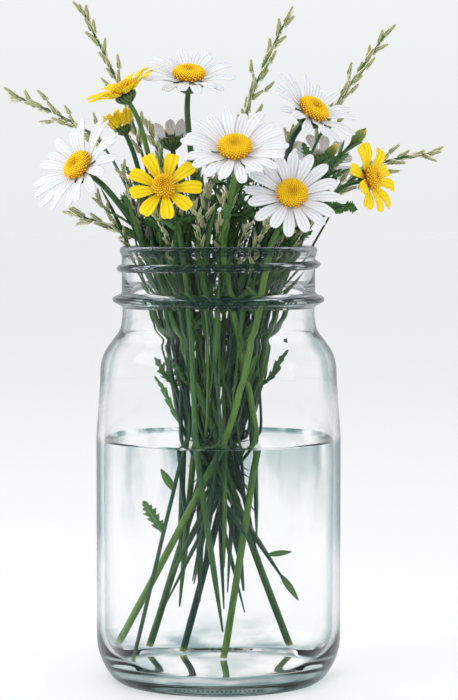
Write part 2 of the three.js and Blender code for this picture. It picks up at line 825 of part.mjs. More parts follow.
function buildStems() {
  for (const [name, stem] of Object.entries(stems)) {
    const pieces = [tube(stem.points, stem.radii, grasses[name] ? 3 : stemSides)];
    if (blooms[name]) pieces.push(cupOf(blooms[name]));
    if (grasses[name]) pieces.push(...grassHead(stem, grasses[name], name.length));
    if (leafyStems[name]) {
      const end = stem.points[stem.points.length - 1];
      const before = stem.points[stem.points.length - 2];
      const forward = end.clone().sub(before).normalize();
      const bud = leafyStems[name].bud;
      pieces.push(ovoid(end.clone().addScaledVector(forward, -1), forward, bud * 4, bud));
    }
    for (const leaf of leaves[name] || []) {
      pieces.push(growLeaf(stem, leaf));
    }
    const material = grasses[name] ? grassPaint : leafyStems[name] ? leafPaint : stemPaint;
    bunch.add(meshOf(name + "_stem", joined(pieces), material));
  }
}

buildBloomHeads();
buildStems();

bunch.add(meshOf("jar", jarSolid(), glassPaint));
bunch.add(meshOf("water", waterSolid(Object.values(stems), sunkLeaves), waterPaint));

export default bunch;
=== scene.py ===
import math

import bmesh
import bpy
from mathutils import Matrix, Vector


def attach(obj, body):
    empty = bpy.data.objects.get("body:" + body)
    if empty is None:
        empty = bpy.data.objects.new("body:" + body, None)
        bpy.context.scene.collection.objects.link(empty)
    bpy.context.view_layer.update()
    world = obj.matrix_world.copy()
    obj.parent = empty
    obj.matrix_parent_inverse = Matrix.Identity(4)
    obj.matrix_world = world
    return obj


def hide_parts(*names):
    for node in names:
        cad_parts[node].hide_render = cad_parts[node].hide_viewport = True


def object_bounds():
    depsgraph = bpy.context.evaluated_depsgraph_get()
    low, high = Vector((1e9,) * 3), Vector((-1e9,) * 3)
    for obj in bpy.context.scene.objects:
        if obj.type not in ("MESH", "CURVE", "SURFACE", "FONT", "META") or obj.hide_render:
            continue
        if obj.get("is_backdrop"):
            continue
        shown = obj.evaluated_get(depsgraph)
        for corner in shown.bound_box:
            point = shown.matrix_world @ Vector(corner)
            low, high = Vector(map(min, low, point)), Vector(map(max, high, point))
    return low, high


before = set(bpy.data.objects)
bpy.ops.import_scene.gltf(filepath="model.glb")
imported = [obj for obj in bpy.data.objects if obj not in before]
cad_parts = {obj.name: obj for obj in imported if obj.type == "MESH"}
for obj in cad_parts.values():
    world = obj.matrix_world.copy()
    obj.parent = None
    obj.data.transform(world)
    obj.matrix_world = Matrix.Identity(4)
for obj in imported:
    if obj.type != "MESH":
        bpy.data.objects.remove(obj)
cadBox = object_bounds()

mm = 0.001  # the tables below are in millimetres
golden = 2.399963  # the turn from one floret to the next along their spiral, in radians
thinTurn = 2.39996  # the turn from one thin stem to the next, in radians
up = Vector((0, 0, 1))
back = Vector((0, 1, 0))

# the jar, with the heights from which it is narrow or a neck, and the water in it
jar = {
    "height": 174, "radius": 49, "wall": 3, "floor": 5.2, "foot": 41.5, "heel": 18, "mouth": 36.4,
    "turns": 128, "neckFrom": 140, "narrowFrom": 120, "narrowRoom": 37,
}
thread = {
    "radius": 39.3, "bottom": 164, "rise": 3.4, "turns": 1.15, "start": 1.2, "bulge": 1.6, "corners": 12,
}
water = {"top": 96, "meniscus": 1.3, "sink": 0.06}
# heights that each route passes, the gap kept between stems, the steps of a curve, how often and how
# finely they are eased apart, the stems' radii, and the height under which a foot shows its cut end
stand = {
    "bare": 98.5, "neck": 173, "gap": 0.8, "spans": 6, "passes": 150, "limit": 0.01,
    "daisyStem": 1.35, "yellowStem": 1.15, "grassStem": 0.8, "cutBelow": 16,
}
# heights over a bloom's centre, the cup's depth for a disc's radius, the step between two layers of
# petals, their fullness, and the share of a petal that lies under the disc
bloomBuild = {
    "discBase": 0.8, "cupTop": -1.95, "cupDepth": 0.62, "layerStep": 0.85, "petalFull": 0.94,
    "petalRoot": 0.14,
}

# centre and facing of each bloom, how far its petals reach, its disc's radius, the number of
# petals and their half width, and how steeply they rise
blooms = {
    "left_daisy": {
        "kind": "daisy", "centre": [-54.6, -12, 205.3], "facing": [-0.61, -0.6, 0.51],
        "reach": 22.5, "disc": 6.8, "petals": 18, "width": 2.5, "rise": 0.18, "seed": 1,
    },
    "top_daisy": {
        "kind": "daisy", "centre": [-11.7, -5, 241], "facing": [0.05, -0.46, 0.887],
        "reach": 20, "disc": 6.9, "petals": 18, "width": 2.5, "rise": 0.2, "seed": 2,
    },
    "centre_daisy": {
        "kind": "daisy", "centre": [6.4, -49, 211.2], "facing": [0, -0.68, 0.73],
        "reach": 21.2, "disc": 7.1, "petals": 18, "width": 2.6, "rise": 0.24, "seed": 3,
    },
    "front_daisy": {
        "kind": "daisy", "centre": [28.2, -37, 194.2], "facing": [0.1, -0.88, 0.46],
        "reach": 19.4, "disc": 6.5, "petals": 16, "width": 2.6, "rise": 0.2, "seed": 4,
    },
    "right_daisy": {
        "kind": "daisy", "centre": [37, -8, 227.2], "facing": [0.49, -0.52, 0.7],
        "reach": 20.6, "disc": 7, "petals": 16, "width": 2.5, "rise": 0.22, "seed": 5,
    },
    "back_daisy": {
        "kind": "daisy", "centre": [-19.5, 22, 218], "facing": [-0.15, 0.12, 0.98],
        "reach": 13.2, "disc": 5.2, "petals": 12, "width": 2.2, "rise": 0.95, "seed": 6,
    },
    "rear_daisy": {
        "kind": "daisy", "centre": [43, 37, 208], "facing": [0.35, 0.72, 0.6],
        "reach": 14.5, "disc": 5.8, "petals": 11, "width": 2.5, "rise": 0.3, "seed": 7,
    },
    "upper_yellow": {
        "kind": "yellow", "centre": [-37, -21, 234.6], "facing": [-0.45, -0.14, 0.88],
        "reach": 15.2, "disc": 4.8, "petals": 15, "width": 2.5, "rise": 0.3, "seed": 8,
    },
    "closed_yellow": {
        "kind": "yellow", "centre": [-38.9, 6, 222.6], "facing": [-0.38, -0.08, 0.92],
        "reach": 10.2, "disc": 3.8, "petals": 20, "width": 1.3, "rise": 1.15, "seed": 9,
    },
    "front_yellow": {
        "kind": "yellow", "centre": [-20.6, -43, 197.2], "facing": [0, -0.93, 0.35],
        "reach": 14.8, "disc": 4.7, "petals": 9, "width": 2.9, "rise": 0.22, "seed": 10,
    },
    "right_yellow": {
        "kind": "yellow", "centre": [60, -10, 200.8], "facing": [0.776, -0.578, 0.252],
        "reach": 14.8, "disc": 4.7, "petals": 10, "width": 2.8, "rise": 0.2, "seed": 11,
    },
}

# foot, where it leaves the water and where it passes the mouth, for the stem of each bloom
routes = {
    "front_daisy": {"foot": [-36.3, 2, 13.5], "bare": [5, -11], "neck": [20, -27]},
    "left_daisy": {"foot": [24.8, 25, 9], "bare": [-4, -8], "neck": [-28, -9]},
    "centre_daisy": {"foot": [0.5, 3, 6.6], "bare": [13, -5], "neck": [2, -27]},
    "top_daisy": {"foot": [-25, 24, 8.5], "bare": [-1, 1], "neck": [-7, -5]},
    "right_daisy": {"foot": [-14.7, 21, 6.6], "bare": [8, 4], "neck": [20, -6]},
    "right_yellow": {"foot": [-18, 4, 40], "bare": [9, -2], "neck": [31, -8]},
    "front_yellow": {"foot": [2, -4, 20], "bare": [-8, -12], "neck": [-14, -27]},
    "upper_yellow": {"foot": [-14, 10, 28], "bare": [-9, 1], "neck": [-20, -12]},
    "back_daisy": {"foot": [-5, 14, 30], "bare": [-6, 9], "neck": [-12, 12]},
    "rear_daisy": {"foot": [9, 14, 34], "bare": [3, 12], "neck": [18, 24]},
    "closed_yellow": {"foot": [-13, 3, 48], "bare": [-12, 5], "neck": [-25, 2]},
}

# the same for the leafy stems and grasses, then the point they bend at, their top, their radius and
# the radius of the bud there, or the length that carries spikelets and how many stand along it
leafyStems = {
    "bud_stem": {
        "foot": [25, 4, 38], "bare": [-11, -8], "neck": [28, 3],
        "bend": [44, 7, 204], "top": [54.6, 8, 216], "radius": 1.1, "bud": 2.0,
    },
    "small_buds": {
        "foot": [14, -4, 58], "bare": [12, 2], "neck": [25, 6],
        "bend": [36, 6, 200], "top": [43.6, 6, 210], "radius": 0.9, "bud": 1.8,
    },
    "left_leafy": {
        "foot": [-12, -4, 60], "bare": [-13, -2], "neck": [-17, -16],
        "bend": [-22, -20, 186], "top": [-25, -23, 201], "radius": 0.9, "bud": 1.0,
    },
    "right_leafy": {
        "foot": [12, 6, 52], "bare": [4, -5], "neck": [24, -15],
        "bend": [34, -14, 186], "top": [50, -10, 190], "radius": 0.9, "bud": 0.8,
    },
    "middle_leafy": {
        "foot": [4, 0, 46], "bare": [1, -6], "neck": [4, -12],
        "bend": [6, -17, 192], "top": [7, -20, 208], "radius": 0.9, "bud": 1.0,
    },
    "rear_leafy": {
        "foot": [3, 16, 26], "bare": [0, 13], "neck": [4, 24],
        "bend": [6, 30, 192], "top": [7, 36, 214], "radius": 0.9, "bud": 1.0,
    },
}

grasses = {
    "tall_left_grass": {
        "foot": [-32, -10, 6.6], "bare": [-12, -6], "neck": [-22, 12],
        "bend": [-38, 29, 232], "top": [-55, 33, 268], "ears": 62, "count": 13,
    },
    "low_left_grass": {
        "foot": [8, 20, 24], "bare": [-8, 7], "neck": [-28, 14],
        "bend": [-50, 38, 217], "top": [-85.5, 61.5, 236], "ears": 52, "count": 11,
    },
    "tall_middle_grass": {
        "foot": [-9, 18, 36], "bare": [2, 6], "neck": [6, 17],
        "bend": [12, 29, 230], "top": [28, 36, 267], "ears": 56, "count": 12,
    },
    "tall_right_grass": {
        "foot": [3, 8, 34], "bare": [6, 8], "neck": [23, 20],
        "bend": [44, 17, 224], "top": [67.5, 25, 259], "ears": 52, "count": 11,
    },
    "low_right_grass": {
        "foot": [-20, -5, 30], "bare": [11, 1], "neck": [32, 8],
        "bend": [60, 15, 205], "top": [84.7, 12, 211], "ears": 44, "count": 10,
    },
    "side_grass": {
        "foot": [16, -6, 50], "bare": [-13, 1], "neck": [-29, 0],
        "bend": [-40, 6, 180], "top": [-56, 10, 186], "ears": 24, "count": 7,
    },
    "inner_left_grass": {
        "foot": [8, 2, 44], "bare": [-4, 4], "neck": [-13, 5],
        "bend": [-20, 4, 200], "top": [-27.5, 5, 220], "ears": 26, "count": 7,
    },
    "inner_right_grass": {
        "foot": [-6, -6, 50], "bare": [5, 0], "neck": [13, 2],
        "bend": [24, 8, 200], "top": [29, 12, 218], "ears": 26, "count": 6,
    },
    "front_grass": {
        "foot": [-8, 0, 40], "bare": [0, -13], "neck": [-6, -24],
        "bend": [-5, -26, 186], "top": [-3, -28, 203], "ears": 22, "count": 6,
    },
}

# root height, turn, rise and roll in degrees, length, breadth, outline and droop of each leaf
leaves = {
    "tall_left_grass": [[77, 175, 62, 70, 10, 3.6, "plain", 0], [60, 185, 60, 70, 15, 6, "lobed", 0]],
    "bud_stem": [
        [50, 0, 8, 70, 9, 2.6, "plain", 0], [42, 10, -58, 70, 13, 3, "plain", 0],
        [188, 60, 30, 0, 15, 5, "lobed", 0.2], [200, -40, 35, 0, 12, 4.5, "lobed", 0.2],
    ],
    "left_leafy": [
        [102, 185, 64, 60, 24, 3.4, "lobed", 0], [178, 192, 45, 0, 18, 6, "lobed", 0.2],
        [184, 240, 40, 0, 16, 5.5, "lobed", 0.2], [192, 150, 45, 0, 15, 5, "lobed", 0.2],
    ],
    "right_leafy": [
        [106, 135, 62, 60, 16, 3.4, "plain", 0], [180, -60, 40, 0, 16, 5.5, "lobed", 0.2],
        [184, 20, 20, 0, 16, 5, "lobed", 0.1], [187, -30, 10, 0, 10, 4, "plain", 0.1],
    ],
    "small_buds": [[116, 0, 48, 60, 20, 3.6, "lobed", 0], [196, 80, 35, 0, 13, 4.5, "lobed", 0.2]],
    "middle_leafy": [
        [186, -20, 45, 0, 16, 5, "lobed", 0.2], [194, -100, 45, 0, 14, 5, "lobed", 0.2],
    ],
    "rear_leafy": [
        [186, 120, 35, 0, 20, 6, "lobed", 0.2], [196, 20, 35, 0, 17, 5.5, "lobed", 0.2],
        [206, 150, 40, 0, 15, 5, "lobed", 0.2],
    ],
    "left_daisy": [
        [181, 170, 40, 0, 16, 5, "lobed", 0.2], [186, 100, 45, 0, 16, 5, "lobed", 0.2],
    ],
    "top_daisy": [[190, 110, 50, 0, 18, 5, "lobed", 0.2]],
    "centre_daisy": [[184, -90, 40, 0, 14, 4.5, "lobed", 0.2]],
    "front_daisy": [[118, 10, 60, 60, 15, 3.4, "plain", 0], [180, -40, 30, 0, 14, 4.5, "lobed", 0.2]],
    "right_daisy": [[184, 40, 45, 0, 16, 5, "lobed", 0.2], [198, 80, 45, 0, 15, 5, "lobed", 0.2]],
    "right_yellow": [[184, 30, 25, 0, 15, 4.5, "lobed", 0.2]],
    "front_yellow": [[180, 240, 30, 0, 14, 4.5, "lobed", 0.2]],
    "upper_yellow": [[196, 180, 45, 0, 15, 5, "lobed", 0.2]],
    "rear_daisy": [[180, 100, 35, 0, 18, 5.5, "lobed", 0.2], [192, 30, 40, 0, 15, 5, "lobed", 0.2]],
}

# how green each stem is, from a dark blue green to a bright yellow green
tones = {
    "front_daisy": 0.8, "left_daisy": 0.55, "centre_daisy": 0.74, "top_daisy": 0.5, "right_daisy": 0.16,
    "right_yellow": 0.5, "front_yellow": 0.55, "upper_yellow": 0.62, "back_daisy": 0.3, "rear_daisy": 0.35,
    "closed_yellow": 0.45, "tall_left_grass": 0.36, "bud_stem": 0.22, "right_leafy": 0.12, "left_leafy": 0.1,
}


def scatter(index, seed):
    # a fixed scatter between 0 and 1
    value = math.sin(index * 12.9898 + seed * 4.1414) * 43758.5453
    return value - math.floor(value)


# ---------- stems: the same routes as the solids, eased apart the same way

def curvePoint(marks, place):
    # a point on a centripetal Catmull-Rom curve, place counted in marks
    start = min(int(place), len(marks) - 2)
    share = place - start
    first, last = marks[0], marks[-1]
    here, there = marks[start], marks[start + 1]
    before = marks[start - 1] if start > 0 else [2 * a - b for a, b in zip(first, marks[1])]
    after = marks[start + 2] if start + 2 < len(marks) else [2 * a - b for a, b in zip(last, marks[-2])]
    pairs = ((before, here), (here, there), (there, after))
    steps = [sum((b - a) ** 2 for a, b in zip(p, q)) ** 0.25 for p, q in pairs]
    point = []
    for a, b, c, d in zip(before, here, there, after):
        leave = ((b - a) / steps[0] - (c - a) / (steps[0] + steps[1]) + (c - b) / steps[1]) * steps[1]
        arrive = ((c - b) / steps[1] - (d - b) / (steps[1] + steps[2]) + (d - c) / steps[2]) * steps[1]
        square = 3 * c - 3 * b - 2 * leave - arrive
        cube = 2 * b - 2 * c + leave + arrive
        point.append(b + leave * share + square * share**2 + cube * share**3)
    return point


def unit(vector):
    size = math.sqrt(sum(v * v for v in vector))
    return [v / size for v in vector]


def layStem(route, bend, top, radius, tip):
    marks = [list(route["foot"]), [*route["bare"], stand["bare"]], [*route["neck"], stand["neck"]], bend, top]
    spans = stand["spans"]
    points = [marks[0]] + [curvePoint(marks, 1 + 3 * i / spans) for i in range(spans + 1)]
    last = len(points) - 1
    radii = [radius + (tip - radius) * (i / last) ** 1.3 for i in range(last + 1)]
    return {"points": [list(p) for p in points], "radii": radii}


def bloomStem(name):
    bloom = blooms[name]
    facing = unit(bloom["facing"])
    radius = stand["daisyStem"] if bloom["kind"] == "daisy" else stand["yellowStem"]
    drop = bloomBuild["cupTop"] - bloom["disc"] * bloomBuild["cupDepth"]
    top = [c + f * drop for c, f in zip(bloom["centre"], facing)]
    bend = [t - f * 9 for t, f in zip(top, facing)]
    return layStem(routes[name], bend, top, radius, radius * 0.8)


def plainStem(route):
    radius = route.get("radius", stand["grassStem"])
    return layStem(route, list(route["bend"]), list(route["top"]), radius, radius * 0.5)


def dot(a, b):
    return a[0] * b[0] + a[1] * b[1] + a[2] * b[2]


def nearest(a, b, c, d):
    # the nearest points of two segments, as shares along each
    u = (b[0] - a[0], b[1] - a[1], b[2] - a[2])
    v = (d[0] - c[0], d[1] - c[1], d[2] - c[2])
    w = (a[0] - c[0], a[1] - c[1], a[2] - c[2])
    uu, uv, vv, uw, vw = dot(u, u), dot(u, v), dot(v, v), dot(u, w), dot(v, w)
    spread = uu * vv - uv * uv
    s = (uv * vw - vv * uw) / spread if spread > 1e-9 else 0
    s = min(1, max(0, s))
    t = min(1, max(0, (uv * s + vw) / vv))
    s = min(1, max(0, (uv * t - uw) / uu))
    return s, t


def nudge(stem, index, share, push):
    # moves the two points on either side of a place; the top two stay, and low ones keep their height
    last = len(stem["points"]) - 1
    for at, weight in ((index, 1 - share), (index + 1, share)):
        if at >= last - 1:
            continue
        point = stem["points"][at]
        point[0] += push[0] * weight
        point[1] += push[1] * weight
        if at >= 5:
            point[2] += push[2] * weight


def parted(first, second, yielding=0.5):
    # moves two stems apart where they come too near; the first one takes the yielding share
    worst = 0
    for i in range(len(first["points"]) - 1):
        a, b = first["points"][i], first["points"][i + 1]
        for j in range(len(second["points"]) - 1):
            c, d = second["points"][j], second["points"][j + 1]
            if min(a[2], b[2]) > max(c[2], d[2]) + 5 or min(c[2], d[2]) > max(a[2], b[2]) + 5:
                continue
            s, t = nearest(a, b, c, d)
            gap = [a[k] + (b[k] - a[k]) * s - c[k] - (d[k] - c[k]) * t for k in range(3)]
            wanted = first["radii"][i] + second["radii"][j] + stand["gap"]
            distance = max(math.sqrt(dot(gap, gap)), 1e-3)
            if distance >= wanted:
                continue
            worst = max(worst, wanted - distance)
            push = [g * (wanted - distance) / distance for g in gap]
            nudge(first, i, s, [p * yielding for p in push])
            nudge(second, j, t, [-p * (1 - yielding) for p in push])
    return worst


def innerMarks(shrink=0):
    # the inside of the jar from the middle of its floor up to the straight wall
    base = jar["floor"] + shrink
    wall = jar["radius"] - jar["wall"] - shrink
    return [(0, base), (34, base), (41 - shrink, base + 2.6), (44.6 - shrink, base + 8), (wall, base + 15)]


def roomAt(height):
    # how far from the axis a stem may lie at a height, inside the glass
    if height > jar["height"] + 2:
        return 1e9
    if height > jar["neckFrom"]:
        return jar["mouth"] - 0.8
    if height > jar["narrowFrom"]:
        return jar["narrowRoom"]
    marks = innerMarks()
    for (r0, z0), (r1, z1) in zip(marks, marks[1:]):
        if height <= z1 and z1 > z0:
            return r0 + (r1 - r0) * (height - z0) / (z1 - z0) - 1
    return jar["radius"] - jar["wall"] - 1


def keptInside(stem):
    # draws the points that would touch the glass in towards the axis
    for point, radius in zip(stem["points"], stem["radii"]):
        room = roomAt(point[2]) - radius
        reach = math.hypot(point[0], point[1])
        if reach > room:
            point[0] *= room / reach
            point[1] *= room / reach


def settle(stems):
    # eases all the stems apart, until none comes too near another or the passes are used up
    worst = 1
    for _ in range(stand["passes"]):
        if worst <= stand["limit"]:
            break
        worst = 0
        for i in range(len(stems)):
            for j in range(i + 1, len(stems)):
                worst = max(worst, parted(stems[i], stems[j]))
        for stem in stems:
            keptInside(stem)


def pointAtHeight(stem, height):
    for a, b in zip(stem["points"], stem["points"][1:]):
        if a[2] <= height <= b[2]:
            return Vector(a).lerp(Vector(b), (height - a[2]) / (b[2] - a[2]))
    return Vector(stem["points"][-1])


def downFromTop(stem, distance):
    points = [Vector(p) for p in stem["points"]]
    for a, b in zip(points[::-1], points[-2::-1]):
        span = (b - a).length
        if distance <= span:
            return a.lerp(b, distance / span), (a - b).normalized()
        distance -= span
    return points[0], up.copy()


stems = {name: bloomStem(name) for name in blooms}
stems.update({name: plainStem(route) for name, route in {**leafyStems, **grasses}.items()})
settle(list(stems.values()))
print("stems settled:", len(stems))


# ---------- the thin growth that fills the bunch between the stems

# how many thin stems of each kind, where the lowest foot and the lowest top lie, how much higher the
# highest top is, how far out they stand at the water and at the mouth, their radius and their seed
thicket = {
    "sprigs": {
        "count": 40, "low": 66, "top": 183, "spread": 32, "waist": 13, "fan": 30, "radius": 0.6, "seed": 3,
    },
    "heads": {
        "count": 24, "low": 66, "top": 186, "spread": 32, "waist": 12, "fan": 31, "radius": 0.5, "seed": 8,
    },
}
thinHead = {"ears": 21, "count": 6, "size": 0.72}
# where the first of the heads end, chosen so that they show between the blooms
headTops = [
    (-37, -16, 203), (11, -30, 181), (29, -27, 182), (-47, -6, 192), (20, 24, 206), (-8, 34, 204),
    (-24, -33, 187), (-9, -37, 189), (2, -35, 192), (19, -37, 184), (38, -20, 187),
]


def turnTo(heading):
    # the turn that brings upright to a heading
    return up.rotation_difference(heading).to_matrix().to_4x4()


def placeOf(bloom):
    return Matrix.Translation(Vector(bloom["centre"])) @ turnTo(Vector(bloom["facing"]).normalized())


homes = {name: placeOf(bloom).inverted() for name, bloom in blooms.items()}


def inBloom(point, margin=2.5):
    # true where a point lies among a bloom's petals or in its cup
    for name, bloom in blooms.items():
        local = homes[name] @ point
        reach = math.hypot(local.x, local.y)
        level = math.sin(bloom["rise"]) * max(0, reach - bloom["disc"])
        low = level - margin - (bloom["disc"] if reach < bloom["disc"] + 1 else 0)
        if reach < bloom["reach"] + margin and low < local.z < level + margin + 2:
            return True
    return False


def free(point):
    # true where a leaf touches neither the glass nor a bloom
    return math.hypot(point.x, point.y) < roomAt(point.z) - 1 and not inBloom(point)


def thinStem(k, kind):
    fan = thicket[kind]
    seed = fan["seed"]
    angle = k * thinTurn + seed
    share = math.sqrt((k + 0.6) / fan["count"])
    east, north = math.cos(angle), math.sin(angle)
    north *= 0.72 if north < 0 else 0.95
    turned = angle + 2.2 + 0.8 * scatter(k, seed)
    crossed = angle + 2.6 * (scatter(k, seed + 7) - 0.5)
    waist = fan["waist"] * share
    spread = fan["fan"] * share
    low = fan["low"] + 28 * scatter(k, seed + 1)
    route = {
        "foot": (math.cos(turned) * (4 + 8 * share), 3 + math.sin(turned) * (3 + 7 * share), low),
        "bare": (math.cos(crossed) * waist, math.sin(crossed) * waist * 0.85),
        "neck": (east * spread, north * spread),
    }
    high = fan["top"] + fan["spread"] * scatter(k, seed + 2) * (1 - 0.35 * share)
    away = spread + (high - 173) * (0.15 + 0.3 * share)
    top = Vector((east * away + 2, north * away, high))
    while inBloom(top, 3.5) and top.z > 178:
        top.z -= 2
        top.x *= 0.97
        top.y *= 0.97
    if kind == "heads" and k < len(headTops):
        top = Vector(headTops[k])
        route["neck"] = (top.x * 0.75, top.y * 0.75)
        route["bare"] = (top.x * 0.25, top.y * 0.25)
    bend = Vector((*route["neck"], 173)).lerp(top, 0.55)
    stem = layStem(route, list(bend), list(top), fan["radius"], fan["radius"] * 0.45)
    stem["tone"] = 0.08 + 0.75 * scatter(k, seed + 4) ** 1.6
    return stem


thinStems = {kind: [thinStem(k, kind) for k in range(fan["count"])] for kind, fan in thicket.items()}
for _ in range(8):
    for thin in thinStems["sprigs"] + thinStems["heads"]:
        for stem in stems.values():
            parted(thin, stem, 1)
        keptInside(thin)
print("thin stems placed:", sum(fan["count"] for fan in thicket.values()))


# ---------- materials

class Wire:
    # one output in a node tree, with arithmetic that adds Math nodes
    def __init__(self, sheet, socket):
        self.sheet = sheet
        self.socket = socket

    def math(self, operation, first, second=None):
        return self.sheet.node("ShaderNodeMath", {"operation": operation}, {0: first, 1: second})

    def __add__(self, other):
        return self.math("ADD", self, other)

    def __sub__(self, other):
        return self.math("SUBTRACT", self, other)

    def __rsub__(self, other):
        return self.math("SUBTRACT", other, self)

    def __mul__(self, other):
        return self.math("MULTIPLY", self, other)

    def __truediv__(self, other):
        return self.math("DIVIDE", self, other)

    def __pow__(self, other):
        return self.math("POWER", self, other)

    def wave(self):
        # its sine, brought between 0 and 1
        return self.math("SINE", self) * 0.5 + 0.5

    def size(self):
        return self.math("ABSOLUTE", self)

    def orMore(self, other):
        return self.math("MAXIMUM", self, other)


class Sheet:
    # a material's node tree and its one Principled shader
    def __init__(self, name):
        self.material = bpy.data.materials.new(name)
        self.material.use_nodes = True
        self.tree = self.material.node_tree
        self.shader = self.tree.nodes["Principled BSDF"]

    def node(self, kind, settings=None, inputs=None, output=0):
        made = self.tree.nodes.new(kind)
        for key, value in (settings or {}).items():
            if key == "ramp":
                setRamp(made.color_ramp, value)
            else:
                setattr(made, key, value)
        for key, value in (inputs or {}).items():
            self.feed(made.inputs[key], value)
        return Wire(self, made.outputs[output])

    def feed(self, socket, value):
        # links an output or sets a value; a colour gets its fourth number here
        if isinstance(value, Wire):
            self.tree.links.new(value.socket, socket)
        elif socket.type == "RGBA":
            socket.default_value = (*value, 1)
        elif value is not None:
            socket.default_value = value

    def finish(self, **values):
        for key, value in values.items():
            self.feed(self.shader.inputs[key.replace("_", " ")], value)
        return self.material

    def noted(self, name):
        # an attribute that the piece carries
        return self.node("ShaderNodeAttribute", {"attribute_name": name}, output=2)

    def facing(self):
        # 0 where the surface faces the eye and 1 where it is seen edge on; glass and water paint their edge
        # shade with it
        return self.node("ShaderNodeLayerWeight", inputs={"Blend": 0.5}, output="Facing")

    def noise(self, scale, detail, stretch=(1, 1, 1)):
        where = self.node("ShaderNodeTexCoord", output="Object")
        placed = self.node("ShaderNodeMapping", inputs={"Vector": where, "Scale": stretch})
        return self.node("ShaderNodeTexNoise", inputs={"Vector": placed, "Scale": scale, "Detail": detail})

    def ramp(self, share, stops):
        return self.node("ShaderNodeValToRGB", {"ramp": stops}, {0: share})

    def between(self, value, low, high):
        # 0 at low, 1 at high and a soft step between
        settings = {"interpolation_type": "SMOOTHSTEP"}
        return self.node("ShaderNodeMapRange", settings, {0: value, 1: low, 2: high, 3: 0.0, 4: 1.0})

    def mix(self, share, first, second):
        return self.node("ShaderNodeMix", {"data_type": "RGBA"}, {0: share, 6: first, 7: second}, output=2)

    def bump(self, height, strength, distance):
        inputs = {"Strength": strength, "Distance": distance, "Height": height}
        return self.node("ShaderNodeBump", inputs=inputs)


def setRamp(ramp, stops):
    while len(ramp.elements) < len(stops):
        ramp.elements.new(0.5)
    for element, (place, colour) in zip(ramp.elements, stops):
        element.position = place
        element.color = (*colour, 1)


# the tip, shade and root colours of a petal, and how strongly its creases take the painted shade
whiteLook = {
    "tip": (0.86, 0.86, 0.885), "shade": (0.5, 0.52, 0.6), "root": (0.62, 0.68, 0.42), "creaseShade": 0.46,
}
yellowLook = {
    "tip": (0.96, 0.72, 0.006), "shade": (0.74, 0.4, 0.002), "root": (0.66, 0.34, 0.003), "creaseShade": 0.5,
}


def petalPaint(name, look):
    sheet = Sheet(name)
    along = sheet.noted("along")
    across = sheet.noted("across")
    spread = sheet.noise(170, 2)
    # painted shade: the creases and fine grooves along the petal are darkened towards the shade colour
    fold = (across * 9.42 + spread * 1.6 + 4.71 - 0.8).wave() ** 3
    fine = (across * 40 + spread * 5).wave()
    body = sheet.ramp(along + spread * 0.1, [(0.04, look["root"]), (0.24, look["tip"]), (1, look["tip"])])
    colour = sheet.mix(fold * look["creaseShade"] + fine * 0.08, body, look["shade"])
    relief = (1 - fold) * 0.9 + fine * 0.16 + spread * 0.4
    return sheet.finish(
        Base_Color=colour, Roughness=0.55, Specular_IOR_Level=0.25, Subsurface_Weight=0.2,
        Subsurface_Scale=0.001, Normal=sheet.bump(relief, 0.5, 0.0004),
    )


# colours of a disc's florets from its middle to its rim, and foot, the painted shade at the florets' feet
daisyFloretLook = {
    "rings": [
        (0.0, (0.72, 0.4, 0.004)), (0.3, (0.93, 0.6, 0.004)), (0.75, (0.98, 0.66, 0.006)),
        (1.0, (0.9, 0.48, 0.004)),
    ],
    "foot": (0.5, 0.2, 0.002),
}
orangeFloretLook = {
    "rings": [(0.0, (0.88, 0.56, 0.012)), (0.5, (0.9, 0.55, 0.014)), (1.0, (0.95, 0.64, 0.02))],
    "foot": (0.5, 0.2, 0.004),
}


def floretPaint(name, look):
    sheet = Sheet(name)
    grain = sheet.noise(900, 2)
    top = sheet.ramp(sheet.noted("ring"), look["rings"])
    # painted shade: each floret darkens towards its foot, down among the others
    light = sheet.between(sheet.noted("tip") + grain * 0.3, 0.35, 0.95)
    colour = sheet.mix(light, look["foot"], top)
    return sheet.finish(
        Base_Color=colour, Roughness=0.6, Specular_IOR_Level=0.3, Normal=sheet.bump(grain, 0.3, 0.0003),
    )


stemTones = [
    (0.0, (0.003, 0.026, 0.021)), (0.3, (0.009, 0.056, 0.024)), (0.6, (0.035, 0.11, 0.018)),
    (0.85, (0.09, 0.2, 0.026)), (1.0, (0.15, 0.29, 0.045)),
]


def stemPaint(name, roughness):
    sheet = Sheet(name)
    streaks = sheet.noise(800, 3, (1, 1, 0.05))
    patches = sheet.noise(45, 3)
    tone = sheet.noted("tone") + (patches - 0.5) * 0.5 + (streaks - 0.5) * 0.5
    colour = sheet.mix(sheet.noted("cut") * 0.8, sheet.ramp(tone, stemTones), (0.36, 0.42, 0.16))
    return sheet.finish(
        Base_Color=colour, Roughness=roughness, Specular_IOR_Level=0.45,
        Normal=sheet.bump(streaks, 0.5, 0.0003),
    )


leafLook = {"dark": (0.018, 0.088, 0.035), "light": (0.11, 0.26, 0.055), "rib": (0.2, 0.35, 0.11)}
bladeLook = {"dark": (0.015, 0.075, 0.025), "light": (0.075, 0.19, 0.035), "rib": (0.16, 0.3, 0.08)}
bractLook = {"dark": (0.012, 0.04, 0.012), "light": (0.14, 0.24, 0.05), "rib": (0.2, 0.3, 0.09)}


def leafPaint(name, look, margin=0.0):
    sheet = Sheet(name)
    side = sheet.noted("across").size()
    along = sheet.noted("along")
    rib = 1 - sheet.between(side, 0.03, 0.16)
    veins = ((along * 1.6 - side * 0.5) * 62).wave()
    patches = sheet.noise(120, 3)
    body = sheet.mix(patches * 0.9 + veins * 0.12, look["dark"], look["light"])
    body = sheet.mix(rib * 0.55, body, look["rib"])
    colour = sheet.mix(sheet.between(side, 0.45, 0.9) * margin, body, look["dark"])
    relief = rib * 0.9 + veins * 0.2 + patches * 0.4
    return sheet.finish(
        Base_Color=colour, Roughness=0.5, Specular_IOR_Level=0.4, Normal=sheet.bump(relief, 0.5, 0.0005),
    )


